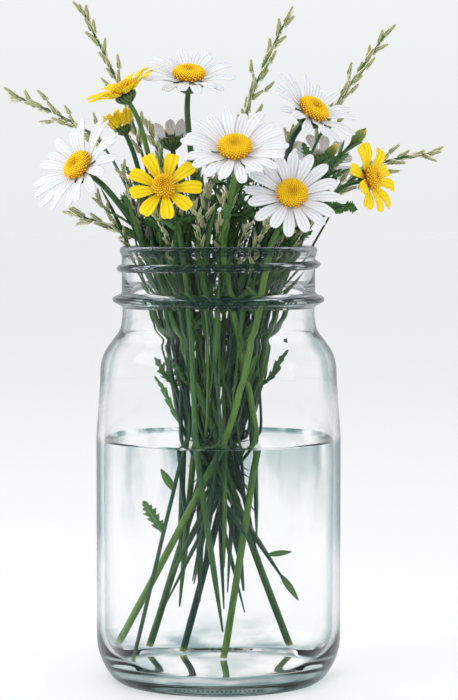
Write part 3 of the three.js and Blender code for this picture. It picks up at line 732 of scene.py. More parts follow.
scaleTones = [
    (0.0, (0.33, 0.42, 0.18)), (0.4, (0.66, 0.66, 0.42)), (0.72, (0.87, 0.77, 0.64)),
    (1.0, (0.96, 0.84, 0.8)),
]
budTones = [
    (0.0, (0.06, 0.14, 0.03)), (0.4, (0.2, 0.27, 0.035)), (0.7, (0.6, 0.5, 0.035)), (1.0, (0.9, 0.66, 0.02)),
]


def scalePaint(name, tones):
    sheet = Sheet(name)
    side = sheet.noted("across").size()
    patches = sheet.noise(260, 2)
    body = sheet.ramp(sheet.noted("along") + (patches - 0.5) * 0.35, tones)
    dusk = sheet.between(side, 0.6, 1.0) * 0.22
    colour = sheet.mix(dusk, body, (0.42, 0.3, 0.24))
    veins = (sheet.noted("across") * 16).wave()
    return sheet.finish(
        Base_Color=colour, Roughness=0.62, Specular_IOR_Level=0.3, Normal=sheet.bump(veins, 0.2, 0.0001),
    )


# the glass's painted shade: the outside and inside ramps darken it as it turns away, weight scales that
# height by height, and heel, bead, line and floor are the painted shade colours at the heel, on bead and lip,
# in the dark outline and on the floor
glassLook = {
    "ior": 1.5, "body": (0.6, 0.8, 0.79), "absorb": 3, "glare": (0.12, 0.13, 0.14), "streak": 0.3,
    "outside": [
        (0.0, (1, 1, 1)), (0.52, (1, 1, 1)), (0.62, (0.5, 0.6, 0.61)), (0.76, (0.12, 0.2, 0.21)),
        (1.0, (0.01, 0.03, 0.03)),
    ],
    "inside": [
        (0.0, (1, 1, 1)), (0.58, (1, 1, 1)), (0.74, (0.45, 0.55, 0.55)), (0.9, (0.06, 0.12, 0.12)),
        (1.0, (0.01, 0.03, 0.03)),
    ],
    "weight": [
        (0.0, 1.0), (0.1, 1.0), (0.17, 0.35), (0.27, 0.35), (0.36, 1.0), (0.55, 1.0), (0.57, 0.3),
        (0.64, 0.3), (0.7, 1.0), (0.8, 1.0), (0.86, 0.7), (1.0, 0.7),
    ],
    "heel": (0.1, 0.27, 0.28), "bead": (0.06, 0.12, 0.13), "line": (0.012, 0.045, 0.048),
    "floor": (0.13, 0.33, 0.35),
}
# where each band of the glass starts and ends, up the jar or out from its axis, in metres
glassBands = {
    "heel": (0.003, 0.024), "beadHeight": (0.143, 0.147), "beadReach": (0.0386, 0.0402),
    "lip": (0.1695, 0.1715), "floor": (0.0065, 0.0085), "foot": (0.0012, 0.003),
}
# radius and height of the middle of the glass, to tell its outside from its inside
middleOfWall = [
    (0, 0), (5, 40), (20, 47.5), (98, 47.5), (119, 46), (131, 44), (140, 38.6), (146, 37.4), (174, 37.4),
]


def glassPaint(name, look):
    # clear face on, with painted shade elsewhere: a dark blue green where the glass turns away, fine dark
    # lines on bead and lip, patches at the heel and rings on the floor
    sheet = Sheet(name)
    streaks = sheet.noise(75, 3, (1, 1, 0.1))
    where = sheet.node("ShaderNodeTexCoord", output="Object")
    x, y, height = [sheet.node("ShaderNodeSeparateXYZ", inputs={0: where}, output=axis) for axis in "XYZ"]
    radius = (x ** 2 + y ** 2) ** 0.5
    # painted edge shade: how far the glass turns from the eye, broken by streaks, picks its darkness from the
    # ramps
    turned = sheet.facing() + (streaks - 0.5) * look["streak"]
    inner, outer = sheet.ramp(turned, look["inside"]), sheet.ramp(turned, look["outside"])
    edge = sheet.mix(sheet.noted("outside"), inner, outer)
    greys = [(place, (value, value, value)) for place, value in look["weight"]]
    weight = sheet.ramp(height / (jar["height"] * mm), greys)
    colour = sheet.mix(weight, (1, 1, 1), edge)
    # painted shade: dark blue green patches at the heel
    low = 1 - sheet.between(height, *glassBands["heel"])
    heelShade = sheet.between(sheet.noise(45, 4, (1, 1, 2.5)), 0.46, 0.66)
    colour = sheet.mix(low * heelShade * 0.8, colour, look["heel"])
    # painted shade: fine dark lines along the bead and the lip
    bead = sheet.between(radius, *glassBands["beadReach"]) * sheet.between(height, *glassBands["beadHeight"])
    lip = sheet.between(height, *glassBands["lip"]) * 0.6
    lines = (height * 5200 + streaks * 9).wave() * 0.4 + 0.55
    colour = sheet.mix(bead.orMore(lip) * lines, colour, look["bead"])
    # painted shade: dark blue green rings on the floor of the glass
    floorRingShade = sheet.between((radius * 700 + sheet.noise(55, 3) * 7).wave(), 0.35, 0.8)
    bottom = 1 - sheet.between(height, *glassBands["floor"])
    colour = sheet.mix(floorRingShade * bottom * 0.7, colour, look["floor"])
    around = y.math("ARCTAN2", y, x)
    knurl = (around * 150).wave() * (1 - sheet.between(height, *glassBands["foot"]))
    ripple = sheet.noise(38, 2, (1, 1, 0.5))
    sheet.finish(
        Base_Color=colour, Roughness=0.0, Transmission_Weight=1, IOR=look["ior"],
        Specular_Tint=look["glare"], Normal=sheet.bump(ripple + knurl * 0.5, 0.05, 0.002),
    )
    # painted shade: a dark shader is mixed in as an outline where the glass turns away and along bead and lip
    outline = sheet.between(turned, 0.62, 0.9) * weight * sheet.noted("outside") * 0.72
    outline = outline.orMore(bead * (lines - 0.5) * 1.1).orMore(lip * (lines - 0.45) * 0.8)
    dark = sheet.node("ShaderNodeBsdfPrincipled", inputs={
        "Base Color": look["line"], "Roughness": 0.3, "Specular IOR Level": 0.2,
    })
    clear = Wire(sheet, sheet.shader.outputs[0])
    both = sheet.node("ShaderNodeMixShader", inputs={0: outline, 1: clear, 2: dark})
    body = sheet.node("ShaderNodeVolumeAbsorption", inputs={"Color": look["body"], "Density": look["absorb"]})
    ends = sheet.tree.nodes["Material Output"].inputs
    sheet.feed(ends["Surface"], both)
    sheet.feed(ends["Volume"], body)
    return sheet.material


# the water's painted shade: edge darkens its wall where it turns away from the eye, and rim is the dark
# colour in patches round the rim of its surface
waterLook = {
    "ior": 1.1, "glare": (0.4, 0.4, 0.4), "rim": (0.06, 0.22, 0.23),
    "edge": [(0.0, (1, 1, 1)), (0.66, (1, 1, 1)), (0.88, (0.4, 0.6, 0.61)), (1.0, (0.1, 0.27, 0.28))],
}


def waterPaint(name, look):
    sheet = Sheet(name)
    # painted shade: the wall of the water darkens where it turns away from the eye
    edge = sheet.ramp(sheet.facing() * sheet.noted("wall"), look["edge"])
    # painted shade: dark patches round the rim of the surface
    patches = sheet.between(sheet.noise(70, 3, (1, 1, 0.3)), 0.42, 0.6)
    colour = sheet.mix(sheet.noted("rim") * patches * 0.9, edge, look["rim"])
    ripple = sheet.noise(60, 2)
    return sheet.finish(
        Base_Color=colour, Roughness=0.0, Transmission_Weight=1, IOR=look["ior"],
        Specular_Tint=look["glare"], Normal=sheet.bump(ripple, 0.03, 0.001),
    )


paints = {
    "white": petalPaint("whitePetal", whiteLook),
    "yellow": petalPaint("yellowPetal", yellowLook),
    "daisyDisc": floretPaint("daisyFloret", daisyFloretLook),
    "yellowDisc": floretPaint("orangeFloret", orangeFloretLook),
    "stem": stemPaint("stemGreen", 0.36),
    "leaf": leafPaint("leafGreen", leafLook),
    "blade": leafPaint("bladeGreen", bladeLook),
    "bract": leafPaint("bractGreen", bractLook, 0.9),
    "scale": scalePaint("grassScale", scaleTones),
    "bud": scalePaint("budScale", budTones),
    "glass": glassPaint("clearGlass", glassLook),
    "water": waterPaint("clearWater", waterLook),
}
print("materials mixed:", len(paints))


# ---------- modelling helpers

def deselect():
    bpy.ops.object.select_all(action="DESELECT")


def choose(piece):
    deselect()
    piece.select_set(True)
    bpy.context.view_layer.objects.active = piece


def pick(piece, test):
    # in edit mode, selects the corners that pass a test on their place
    shape = bmesh.from_edit_mesh(piece.data)
    shape.select_mode = {"VERT"}
    for part in (*shape.edges, *shape.faces):
        part.select = False
    for corner in shape.verts:
        corner.select = bool(test(corner.co))
    shape.select_flush(True)
    bmesh.update_edit_mesh(piece.data)


def takeAll():
    # in edit mode, selects all corners
    bpy.ops.mesh.select_all(action="SELECT")


def editing(on):
    bpy.ops.object.mode_set(mode="EDIT" if on else "OBJECT")


def applyAll(piece):
    choose(piece)
    for modifier in list(piece.modifiers):
        bpy.ops.object.modifier_apply(modifier=modifier.name)


def copyOf(piece):
    twin = piece.copy()
    twin.data = piece.data.copy()
    bpy.context.collection.objects.link(twin)
    return twin


def joined(name, parts):
    deselect()
    for part in parts:
        part.select_set(True)
    bpy.context.view_layer.objects.active = parts[0]
    if len(parts) > 1:
        bpy.ops.object.join()
    piece = bpy.context.view_layer.objects.active
    piece.name = name
    piece.data.name = name
    return piece


def note(piece, name, values):
    layer = piece.data.attributes.new(name, "FLOAT", "POINT")
    layer.data.foreach_set("value", values)


def noteAll(piece, name, measure):
    note(piece, name, [measure(corner.co) for corner in piece.data.vertices])


def dress(piece, paint, sharp=None):
    # smooths the piece, but for the edges sharper than so many degrees, and gives it its material
    choose(piece)
    if sharp is None:
        bpy.ops.object.shade_smooth()
    else:
        bpy.ops.object.shade_smooth_by_angle(angle=math.radians(sharp))
    piece.data.materials.clear()
    piece.data.materials.append(paints[paint])


def thicken(piece, amount, levels):
    thick = piece.modifiers.new("thickness", "SOLIDIFY")
    thick.thickness = amount * mm
    thick.offset = 0
    if levels:
        finer = piece.modifiers.new("finer", "SUBSURF")
        finer.levels = finer.render_levels = levels
    applyAll(piece)


def finishPiece(piece, slotName, *nodes):
    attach(piece, "root")
    if nodes:
        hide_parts(*nodes)


def lookUp(table, place):
    for (a, b), (c, d) in zip(table, table[1:]):
        if place <= c:
            return b + (d - b) * (place - a) / (c - a)
    return table[-1][1]


def tubeAlong(points, radii, rings, sides):
    # a round tube through the points, drawn as a path and turned into a mesh
    lengths = [0.0]
    for a, b in zip(points, points[1:]):
        lengths.append(lengths[-1] + math.dist(a, b))
    deselect()
    bpy.ops.curve.primitive_nurbs_path_add(location=(0, 0, 0))
    path = bpy.context.object
    editing(True)
    bpy.ops.curve.spline_type_set(type="POLY")
    bpy.ops.curve.select_all(action="SELECT")
    bpy.ops.curve.subdivide(number_cuts=max(1, rings // 4 - 1))
    editing(False)
    spots = path.data.splines[0].points
    for index, spot in enumerate(spots):
        reach = lengths[-1] * index / (len(spots) - 1)
        at = max(i for i in range(len(points) - 1) if lengths[i] <= reach + 1e-9)
        share = min(1, (reach - lengths[at]) / (lengths[at + 1] - lengths[at]))
        spot.co = (*[v * mm for v in curvePoint(points, at + share)], 1)
        spot.radius = radii[at] + (radii[at + 1] - radii[at]) * share
    path.data.dimensions = "3D"
    path.data.bevel_depth = mm
    path.data.bevel_resolution = max(0, sides // 2 - 2)
    path.data.use_fill_caps = True
    bpy.ops.object.convert(target="MESH")
    return bpy.context.object


def spunProfile(name, marks, turns):
    # a profile given in millimetres, drawn corner by corner in metres and spun round the upright axis
    deselect()
    bpy.ops.mesh.primitive_circle_add(vertices=3, radius=0.001, location=(0, 0, 0))
    piece = bpy.context.object
    editing(True)
    takeAll()
    bpy.ops.mesh.merge(type="CENTER")
    here = Vector((marks[0][0] * mm, 0, marks[0][1] * mm))
    bpy.ops.transform.translate(value=here)
    for radius, height in marks[1:]:
        there = Vector((radius * mm, 0, height * mm))
        bpy.ops.mesh.extrude_region_move(TRANSFORM_OT_translate={"value": there - here})
        here = there
    takeAll()
    bpy.ops.mesh.spin(steps=turns, angle=2 * math.pi, center=(0, 0, 0), axis=(0, 0, 1))
    takeAll()
    bpy.ops.mesh.remove_doubles(threshold=1e-6)
    bpy.ops.mesh.normals_make_consistent(inside=False)
    editing(False)
    piece.name = name
    return piece


def spunCore(marks, turns, **measures):
    # the spun middle of a disc, cup or bud, in millimetres, with the places its material reads
    core = spunProfile("core", marks, turns)
    core.data.transform(Matrix.Scale(1 / mm, 4))
    for name, measure in measures.items():
        noteAll(core, name, measure)
    return core


# ---------- jar and water

bowlMarks = [
    (46, 21.5), (45.9, 19), (45.4, 15.5), (44.2, 12.2), (41.4, 8.3), (38, 6.1), (33, 5.2), (28, 5.1),
    (13, 5.5), (6, 5.7),
]


def eased(marks, steps):
    # the same profile with its corners drawn as curves
    points = []
    for i in range(len(marks) - 1):
        for k in range(steps):
            radius, height = curvePoint([(r, z) for r, z in marks], i + k / steps)
            points.append((max(0.0, radius), height))
    return points + [marks[-1]]


def heelRadius(outer, height):
    left = max(0.0, 1 - height / jar["heel"])
    return outer - (jar["radius"] - jar["foot"]) * left**2.2


def jarProfile():
    top = jar["height"]
    under = [(0, 1.4), (11, 1.4), (12, 0.9), (13, 1.4), (25, 1.4), (26, 1.0), (27, 1.4), (32, 1.4)]
    outside = [(34.4, 0.5), (35.4, 0), (jar["foot"] - 0.9, 0), (jar["foot"], 0.5)]
    outside += [(heelRadius(jar["radius"], h), h) for h in (1.6, 3.2, 5.5, 8, 11, 14, 17)]
    outside += [(49, 20), (49, 60), (49, 92)]
    shoulder = [(49, 98), (48.4, 107), (47.5, 119), (47, 127), (45.4, 132), (42.4, 136.4), (39.6, 140.4)]
    outside += eased([*shoulder, (38.5, 145.4), (38.4, 148)], 4)
    outside += [(38.4, 149.4), (39.2, 150.2), (42.1, 151.8), (42.45, 152.8), (42.1, 153.6), (39.2, 155)]
    outside += [(38.7, 155.8), (38.7, 169.6)]
    crown = [(38.9, 170.4), (39.4, 171.8), (39.3, 173), (38.4, top), (37.4, top), (36.6, 173.3)]
    lip = eased([*crown, (36.4, 172.4)], 3)
    neck = [(36.4, 170), (36.4, 149)]
    within = [(36.4, 146.6), (37, 142), (39, 136.4), (42.4, 131), (44.2, 124), (44.6, 117)]
    neck += eased([*within, (45.6, 106), (46, 97)], 4)
    return under + outside + lip + neck + [(46, 60)] + eased(bowlMarks, 3) + [(0, 5.7)]


def makeThread():
    # one pointed bead turned up round the neck, sunk into the glass at both ends
    deselect()
    bulge, radius, bottom = thread["bulge"] * mm, thread["radius"] * mm, thread["bottom"] * mm
    count = thread["corners"]
    bpy.ops.mesh.primitive_circle_add(vertices=count, radius=bulge, fill_type="NGON", location=(0, 0, 0))
    bead = bpy.context.object
    for corner in bead.data.vertices:
        out, rise = corner.co.x, corner.co.y
        sharp = min(1, 1.12 * bulge / (abs(out) + abs(rise)) ** 0.8 / bulge**0.2)
        corner.co = (radius + out * sharp, 0, bottom + rise * sharp)
    rising = bead.modifiers.new("rising", "SCREW")
    rising.angle = thread["turns"] * 2 * math.pi
    rising.screw_offset = thread["rise"] * thread["turns"] * mm
    rising.steps = rising.render_steps = 160
    rising.use_merge_vertices = False
    applyAll(bead)
    steps = len(bead.data.vertices) // count - 1
    for index, corner in enumerate(bead.data.vertices):
        share = (index // count) / steps
        sunk = 1 - min(1, min(share, 1 - share) * 14)
        flat = Vector((corner.co.x, corner.co.y, 0))
        corner.co -= flat.normalized() * (sunk * bulge * 1.3)
    bead.data.transform(Matrix.Rotation(thread["start"], 4, "Z"))
    choose(bead)
    editing(True)
    takeAll()
    bpy.ops.mesh.remove_doubles(threshold=1e-7)
    bpy.ops.mesh.fill_holes(sides=0)
    bpy.ops.mesh.normals_make_consistent(inside=False)
    editing(False)
    return bead


def isOutside(co):
    return float(co.z < 4 * mm or math.hypot(co.x, co.y) > lookUp(middleOfWall, co.z / mm) * mm)


def makeJar():
    piece = spunProfile("glassJar", jarProfile(), jar["turns"])
    bead = makeThread()
    weld = piece.modifiers.new("thread", "BOOLEAN")
    weld.operation = "UNION"
    weld.object = bead
    weld.solver = "EXACT"
    applyAll(piece)
    bpy.data.objects.remove(bead)
    noteAll(piece, "outside", isOutside)
    dress(piece, "glass", 40)
    piece.visible_shadow = False
    finishPiece(piece, "glass", "jar")


def makeWater():
    sink = water["sink"]
    top = water["top"]
    bowl = [(r - sink * (z > 6.1), z + sink) for r, z in eased(bowlMarks, 3)[::-1]]
    wall = [(46 - sink, 60), (46 - sink, top + water["meniscus"])]
    surface = [(45.2, top + 0.55), (44.2, top + 0.15), (42.5, top), (38, top), (34, top), (0, top)]
    piece = spunProfile("jarWater", [(0, 5.7 + sink)] + bowl + wall + surface, jar["turns"])
    # the marks where the water paints shade: its wall, and the rim of its surface
    noteAll(piece, "wall", lambda co: 1.0 if math.hypot(co.x, co.y) > 0.045 and co.z < 0.0965 else 0.0)
    noteAll(piece, "rim", lambda co: min(1.0, max(0.0, math.hypot(co.x, co.y) * 100 - 3.4)) * (co.z > 0.0955))
    dress(piece, "water", 50)
    piece.visible_shadow = False
    finishPiece(piece, "water", "water")


makeJar()
makeWater()
print("jar blown and filled")


# ---------- petals, discs and cups

def onBloom(name, bloom, parts):
    # joins the parts and brings them to their bloom's place
    piece = joined(name, parts)
    piece.data.transform(Matrix.Scale(mm, 4) @ placeOf(bloom))
    return piece


petalPattern = {
    "white": {
        "rows": 16, "columns": 8,
        "widths": [
            (0, 0.42), (0.12, 0.55), (0.35, 0.82), (0.58, 1.0), (0.78, 0.93), (0.9, 0.7), (0.96, 0.48),
            (1, 0.22),
        ],
        "heights": [-0.16, -0.03, 0.06, -0.04, 0.05, -0.04, 0.06, -0.03, -0.16],
        "tips": [-0.05, -0.02, 0.0, -0.035, -0.01, -0.035, 0.0, -0.02, -0.05],
    },
    "yellow": {
        "rows": 16, "columns": 8,
        "widths": [(0, 0.36), (0.12, 0.5), (0.35, 0.8), (0.62, 1.0), (0.84, 1.0), (0.94, 0.86), (1, 0.62)],
        "heights": [0.1, 0.02, -0.09, 0.0, 0.05, 0.0, -0.09, 0.02, 0.1],
        "tips": [-0.06, -0.015, 0.0, -0.06, -0.005, -0.06, 0.0, -0.015, -0.06],
    },
}


def flatSheet(pattern):
    # a flat grid of the pattern's rows and columns, two long and two wide, left in edit mode
    deselect()
    bpy.ops.mesh.primitive_grid_add(
        x_subdivisions=pattern["rows"], y_subdivisions=pattern["columns"], size=2, location=(0, 0, 0),
    )
    editing(True)
    return bpy.context.object


def narrowRows(piece, pattern):
    # gives each row its breadth, and returns the last one's
    for row in range(pattern["rows"] + 1):
        place = -1 + 2 * row / pattern["rows"]
        pick(piece, lambda co: abs(co.x - place) < 0.01)
        width = lookUp(pattern["widths"], (place + 1) / 2)
        bpy.ops.transform.resize(value=(1, width, 1), center_override=(place, 0, 0))
    return width


def endSheet(piece, pattern):
    # moves the grid to run from 0 to 1, and notes how far along and across each corner lies
    takeAll()
    bpy.ops.transform.translate(value=(1, 0, 0))
    bpy.ops.transform.resize(value=(0.5, 1, 1), center_override=(0, 0, 0))
    editing(False)
    noteAll(piece, "along", lambda co: co.x)
    noteAll(piece, "across", lambda co: co.y / lookUp(pattern["widths"], min(1, max(0, co.x))))
    return piece


def modelPetal(pattern):
    # one flat petal, one long and one wide each side, shaped column by column and row by row
    columns = pattern["columns"]
    petal = flatSheet(pattern)
    for column in range(columns + 1):
        place = -1 + 2 * column / columns
        pick(petal, lambda co: abs(co.y - place) < 0.01)
        bpy.ops.transform.translate(value=(0, 0, pattern["heights"][column]))
    width = narrowRows(petal, pattern)
    for column, cut in enumerate(pattern["tips"]):
        place = (-1 + 2 * column / columns) * width
        pick(petal, lambda co: abs(co.y - place) < 0.01 and co.x > 0.99)
        bpy.ops.transform.translate(value=(cut * 2, 0, 0))
    return endSheet(petal, pattern)


def layPetal(petal, bloom, index):
    # stretches the pattern to its reach, then arches, twists and turns it into its place
    seed = bloom["seed"]
    turn = (index + 0.25 * (scatter(index, seed) - 0.5)) / bloom["petals"] * 2 * math.pi
    level = 0.15 if index % 2 else 0.15 - bloomBuild["layerStep"]
    reach = bloom["reach"] * (0.93 + 0.1 * scatter(index, seed + 20))
    rise = bloom["rise"] + 0.1 * (scatter(index, seed + 40) - 0.5) + (0.06 if index % 2 else 0)
    twist = 0.55 * (scatter(index, seed + 60) - 0.5)
    arch = 0.05 + 0.05 * scatter(index, seed + 80)
    sway = 0.08 * (scatter(index, seed + 90) - 0.5)
    cup = 0.1 + 0.22 * scatter(index, seed + 70)
    edge = bloom["disc"] * 1.06
    width = bloom["width"] * bloomBuild["petalFull"]
    rest = reach - edge
    root = bloomBuild["petalRoot"]
    for corner in petal.data.vertices:
        along, side, lift = corner.co
        lift = (lift + cup * side * side * math.sin(min(1, along * 1.2) * 3.14)) * width
        side *= width
        if along < root:
            x = bloom["disc"] * 0.5 + (edge - bloom["disc"] * 0.5) * along / root
            z = level
        else:
            q = (along - root) / (1 - root)
            x = edge + rest * q * math.cos(rise)
            z = level + rest * (q * math.sin(rise) + arch * (math.sin(q * 3.1416) - 0.35 * q * q))
            angle = twist * q * q
            turned = math.cos(angle), math.sin(angle)
            side, lift = side * turned[0] - lift * turned[1], side * turned[1] + lift * turned[0]
            side += sway * rest * q * q
        corner.co = (x, side, z + lift)
    petal.data.transform(Matrix.Rotation(turn, 4, "Z"))


def makePetals(name, bloom, pattern):
    parts = []
    for index in range(bloom["petals"]):
        petal = copyOf(pattern)
        layPetal(petal, bloom, index)
        parts.append(petal)
    piece = onBloom(name + "Petals", bloom, parts)
    thicken(piece, 0.28, 1)
    white = bloom["kind"] == "daisy"
    dress(piece, "white" if white else "yellow")
    finishPiece(piece, "white_petal" if white else "yellow_petal", name + "_petals")


discLook = {
    "daisy": {"tall": 0.42, "floret": 0.4, "long": 1.0, "flare": 1.0, "crowd": 0.94},
    "yellow": {"tall": 0.5, "floret": 0.4, "long": 2.1, "flare": 1.5, "crowd": 0.8},
}
discShape = [
    (0, 0.76), (0.1, 0.78), (0.2, 0.86), (0.36, 0.97), (0.52, 1), (0.7, 0.9), (0.86, 0.66), (0.94, 0.36),
    (0.96, 0.1),
]
discSlope = [(0, 0), (0.12, 0.5), (0.24, 0.45), (0.4, 0.1), (0.6, -0.2), (0.85, -0.8), (0.96, -1.5)]


def modelFloret(long):
    # one floret about one wide each side, its mouth pressed in
    deselect()
    bpy.ops.mesh.primitive_uv_sphere_add(segments=6, ring_count=5, radius=1, location=(0, 0, 0))
    floret = bpy.context.object
    editing(True)
    pick(floret, lambda co: co.z > 0.5)
    bpy.ops.transform.resize(value=(0.85, 0.85, 1), center_override=(0, 0, 0))
    pick(floret, lambda co: co.z > 0.95)
    bpy.ops.transform.translate(value=(0, 0, -0.4))
    takeAll()
    bpy.ops.transform.resize(value=(1, 1, long), center_override=(0, 0, 0))
    editing(False)
    noteAll(floret, "tip", lambda co: (co.z / long + 1) / 1.6)
    return floret


def makeDisc(name, bloom, floret):
    look = discLook[bloom["kind"]]
    disc, base = bloom["disc"], bloomBuild["discBase"]
    tall = look["tall"] * disc
    size = look["floret"]
    marks = [(share * disc * 0.94, base + (height - 0.06) * tall) for share, height in discShape]
    marks += [(0.6 * disc, 0.5), (0, 0.5)]
    reachOf = lambda co: min(1.0, math.hypot(co.x, co.y) / disc)
    parts = [spunCore(marks, 28, tip=lambda co: 0.0, ring=reachOf)]
    count = int((disc * 0.96 / size) ** 2 * look["crowd"])
    for k in range(count):
        share = math.sqrt((k + 0.6) / count)
        angle = k * golden
        slope = lookUp(discSlope, share * 0.96)
        lean = -slope * look["flare"] + 0.12 * (scatter(k, bloom["seed"] + 5) - 0.5)
        heading = Vector((math.cos(angle) * lean, math.sin(angle) * lean, 1)).normalized()
        grow = size * (0.7 + 0.34 * min(1, share * 1.5)) * (0.88 + 0.24 * scatter(k, bloom["seed"]))
        reach = share * 0.94 * disc
        height = base + lookUp(discShape, share * 0.96) * tall
        spot = Vector((math.cos(angle) * reach, math.sin(angle) * reach, height))
        one = copyOf(floret)
        note(one, "ring", [share] * len(one.data.vertices))
        one.data.transform(Matrix.Translation(spot) @ turnTo(heading) @ Matrix.Scale(grow, 4))
        parts.append(one)
    piece = onBloom(name + "Disc", bloom, parts)
    daisy = bloom["kind"] == "daisy"
    dress(piece, "daisyDisc" if daisy else "yellowDisc")
    finishPiece(piece, "daisy_disc" if daisy else "orange_disc", name + "_disc")


leafPattern = {
    "lobed": {
        "rows": 32, "columns": 4,
        "widths": [
            (0, 0.24), (0.08, 0.26), (0.2, 1), (0.25, 0.34), (0.4, 1.05), (0.45, 0.36), (0.6, 1.1),
            (0.65, 0.38), (0.77, 0.85), (0.81, 0.34), (0.9, 0.46), (1, 0.08),
        ],
    },
    "small": {
        "rows": 15, "columns": 2,
        "widths": [
            (0, 0.2), (0.133, 0.24), (0.2, 1), (0.267, 0.3), (0.333, 0.4), (0.4, 1.1), (0.467, 0.32),
            (0.533, 0.42), (0.6, 1.1), (0.667, 0.34), (0.733, 0.4), (0.8, 0.8), (0.867, 0.36), (1, 0.07),
        ],
    },
    "plain": {
        "rows": 10, "columns": 4,
        "widths": [(0, 0.28), (0.25, 0.85), (0.45, 1), (0.7, 0.78), (0.88, 0.42), (1, 0.06)],
    },
    "blade": {
        "rows": 10, "columns": 2,
        "widths": [(0, 0.5), (0.2, 0.9), (0.45, 1), (0.75, 0.7), (0.92, 0.32), (1, 0.05)],
    },
    "bract": {"rows": 8, "columns": 4, "widths": [(0, 0.8), (0.3, 1), (0.6, 0.9), (0.85, 0.55), (1, 0.12)]},
    "scale": {"rows": 6, "columns": 2, "widths": [(0, 0.6), (0.3, 1), (0.6, 0.85), (0.85, 0.42), (1, 0.05)]},
}


def modelLeaf(pattern):
    # one leaf, one long and one wide each side, its edge cut into lobes or left plain
    leaf = flatSheet(pattern)
    pick(leaf, lambda co: abs(co.y) > 0.9)
    bpy.ops.transform.translate(value=(0, 0, 0.16))
    pick(leaf, lambda co: abs(co.y) < 0.1)
    bpy.ops.transform.translate(value=(0, 0, -0.12))
    narrowRows(leaf, pattern)
    return endSheet(leaf, pattern)


def layLeaf(leaf, root, heading, size, droop=0.0, roll=0.0, skew=0.0, curl=0.0):
    # bends the pattern out from its root; size is its length and its breadth
    length, breadth = size
    across = Matrix.Rotation(math.radians(roll), 3, heading) @ up.cross(heading).normalized()
    over = across.cross(heading).normalized()
    for corner in leaf.data.vertices:
        along, side, lift = corner.co
        reach = along + abs(side) * skew * min(1, along * 4) * (1 - along)
        spot = root + heading * (reach * length)
        spot += across * (side * breadth / 2 + curl * length * along * along)
        spot -= over * (lift * breadth / 2)
        spot -= up * (droop * reach * reach * length)
        corner.co = spot * mm


def headingOf(turn, rise):
    turn, rise = math.radians(turn), math.radians(rise)
    return Vector((math.cos(turn) * math.cos(rise), math.sin(turn) * math.cos(rise), math.sin(rise)))


def wrapBract(bract, core, low, high, angle, breadth, bulge):
    # lays one bract over a turned core, from the height low to the height high
    for corner in bract.data.vertices:
        along, side, lift = corner.co
        height = low + (high - low) * along
        radius = lookUp(core, height) + bulge * math.sin(0.3 + along * 2.5) - lift * bulge * 2
        swing = angle + side * breadth / max(radius, 0.3)
        corner.co = (radius * math.cos(swing), radius * math.sin(swing), height)


# the cup's outline, and the low end, high end, number and breadth of each ring of bracts
cupShape = [
    (-1.15, 0.24), (-1.02, 0.32), (-0.8, 0.5), (-0.52, 0.71), (-0.28, 0.83), (-0.1, 0.85), (0.3, 0.93),
]
cupRings = [(-1.1, -0.35, 10, 0.15), (-0.9, -0.02, 14, 0.14), (-0.65, 0.24, 18, 0.13)]


def makeCup(name, bloom):
    # the green cup: a turned core with three rings of pointed bracts laid over it
    disc = bloom["disc"]
    depth = disc * bloomBuild["cupDepth"]
    middle = bloomBuild["cupTop"]
    core = [(middle + height * depth, share * disc) for height, share in cupShape]
    marks = [(0, core[0][0])] + [(radius * 0.97, height) for height, radius in core[:-1]]
    marks += [(0.8 * disc, middle + 0.95), (0, middle + 0.95)]
    parts = [spunCore(marks, 20, along=lambda co: 0.3, across=lambda co: 1.0)]
    for ring, (low, high, count, breadth) in enumerate(cupRings):
        if bloom["rise"] > 0.8:
            high += 0.28 * ring
        for k in range(count):
            angle = (k + 0.5 * (ring % 2) + 0.2 * scatter(k, ring)) / count * 2 * math.pi
            bract = copyOf(patterns["bract"])
            ends = (middle + low * depth, middle + high * depth)
            wrapBract(bract, core, *ends, angle, breadth * disc, (0.075 - 0.014 * ring) * disc)
            parts.append(bract)
    cup = onBloom(name + "Cup", bloom, parts)
    dress(cup, "bract")
    return cup


patterns = {kind: modelPetal(pattern) for kind, pattern in petalPattern.items()}
patterns.update({kind: modelLeaf(pattern) for kind, pattern in leafPattern.items()})
patterns.update({kind + "Floret": modelFloret(look["long"]) for kind, look in discLook.items()})
for name, bloom in blooms.items():
    makePetals(name, bloom, patterns["white" if bloom["kind"] == "daisy" else "yellow"])
    makeDisc(name, bloom, patterns[bloom["kind"] + "Floret"])
print("petals and discs laid:", len(blooms))


# ---------- stems with their cups, leaves, buds and spikelets

def ahead(stem, height):
    # the point of a stem at a height, and the way it runs on from there
    root = pointAtHeight(stem, height)
    return root, (pointAtHeight(stem, height + 6) - root).normalized()


def makeLeaves(name, stem):
    # the leaves that the table sets one by one
    parts = []
    for height, turn, rise, roll, length, breadth, outline, droop in leaves.get(name, ()):
        leaf = copyOf(patterns[outline])
        skew = 0.25 if outline == "lobed" else 0
        root = pointAtHeight(stem, height)
        layLeaf(leaf, root, headingOf(turn, rise), (length, breadth), droop, roll, skew)
        parts.append(leaf)
    if not parts:
        return []
    piece = joined(name + "Leaves", parts)
    thicken(piece, 0.35, 1)
    dress(piece, "leaf")
    return [piece]


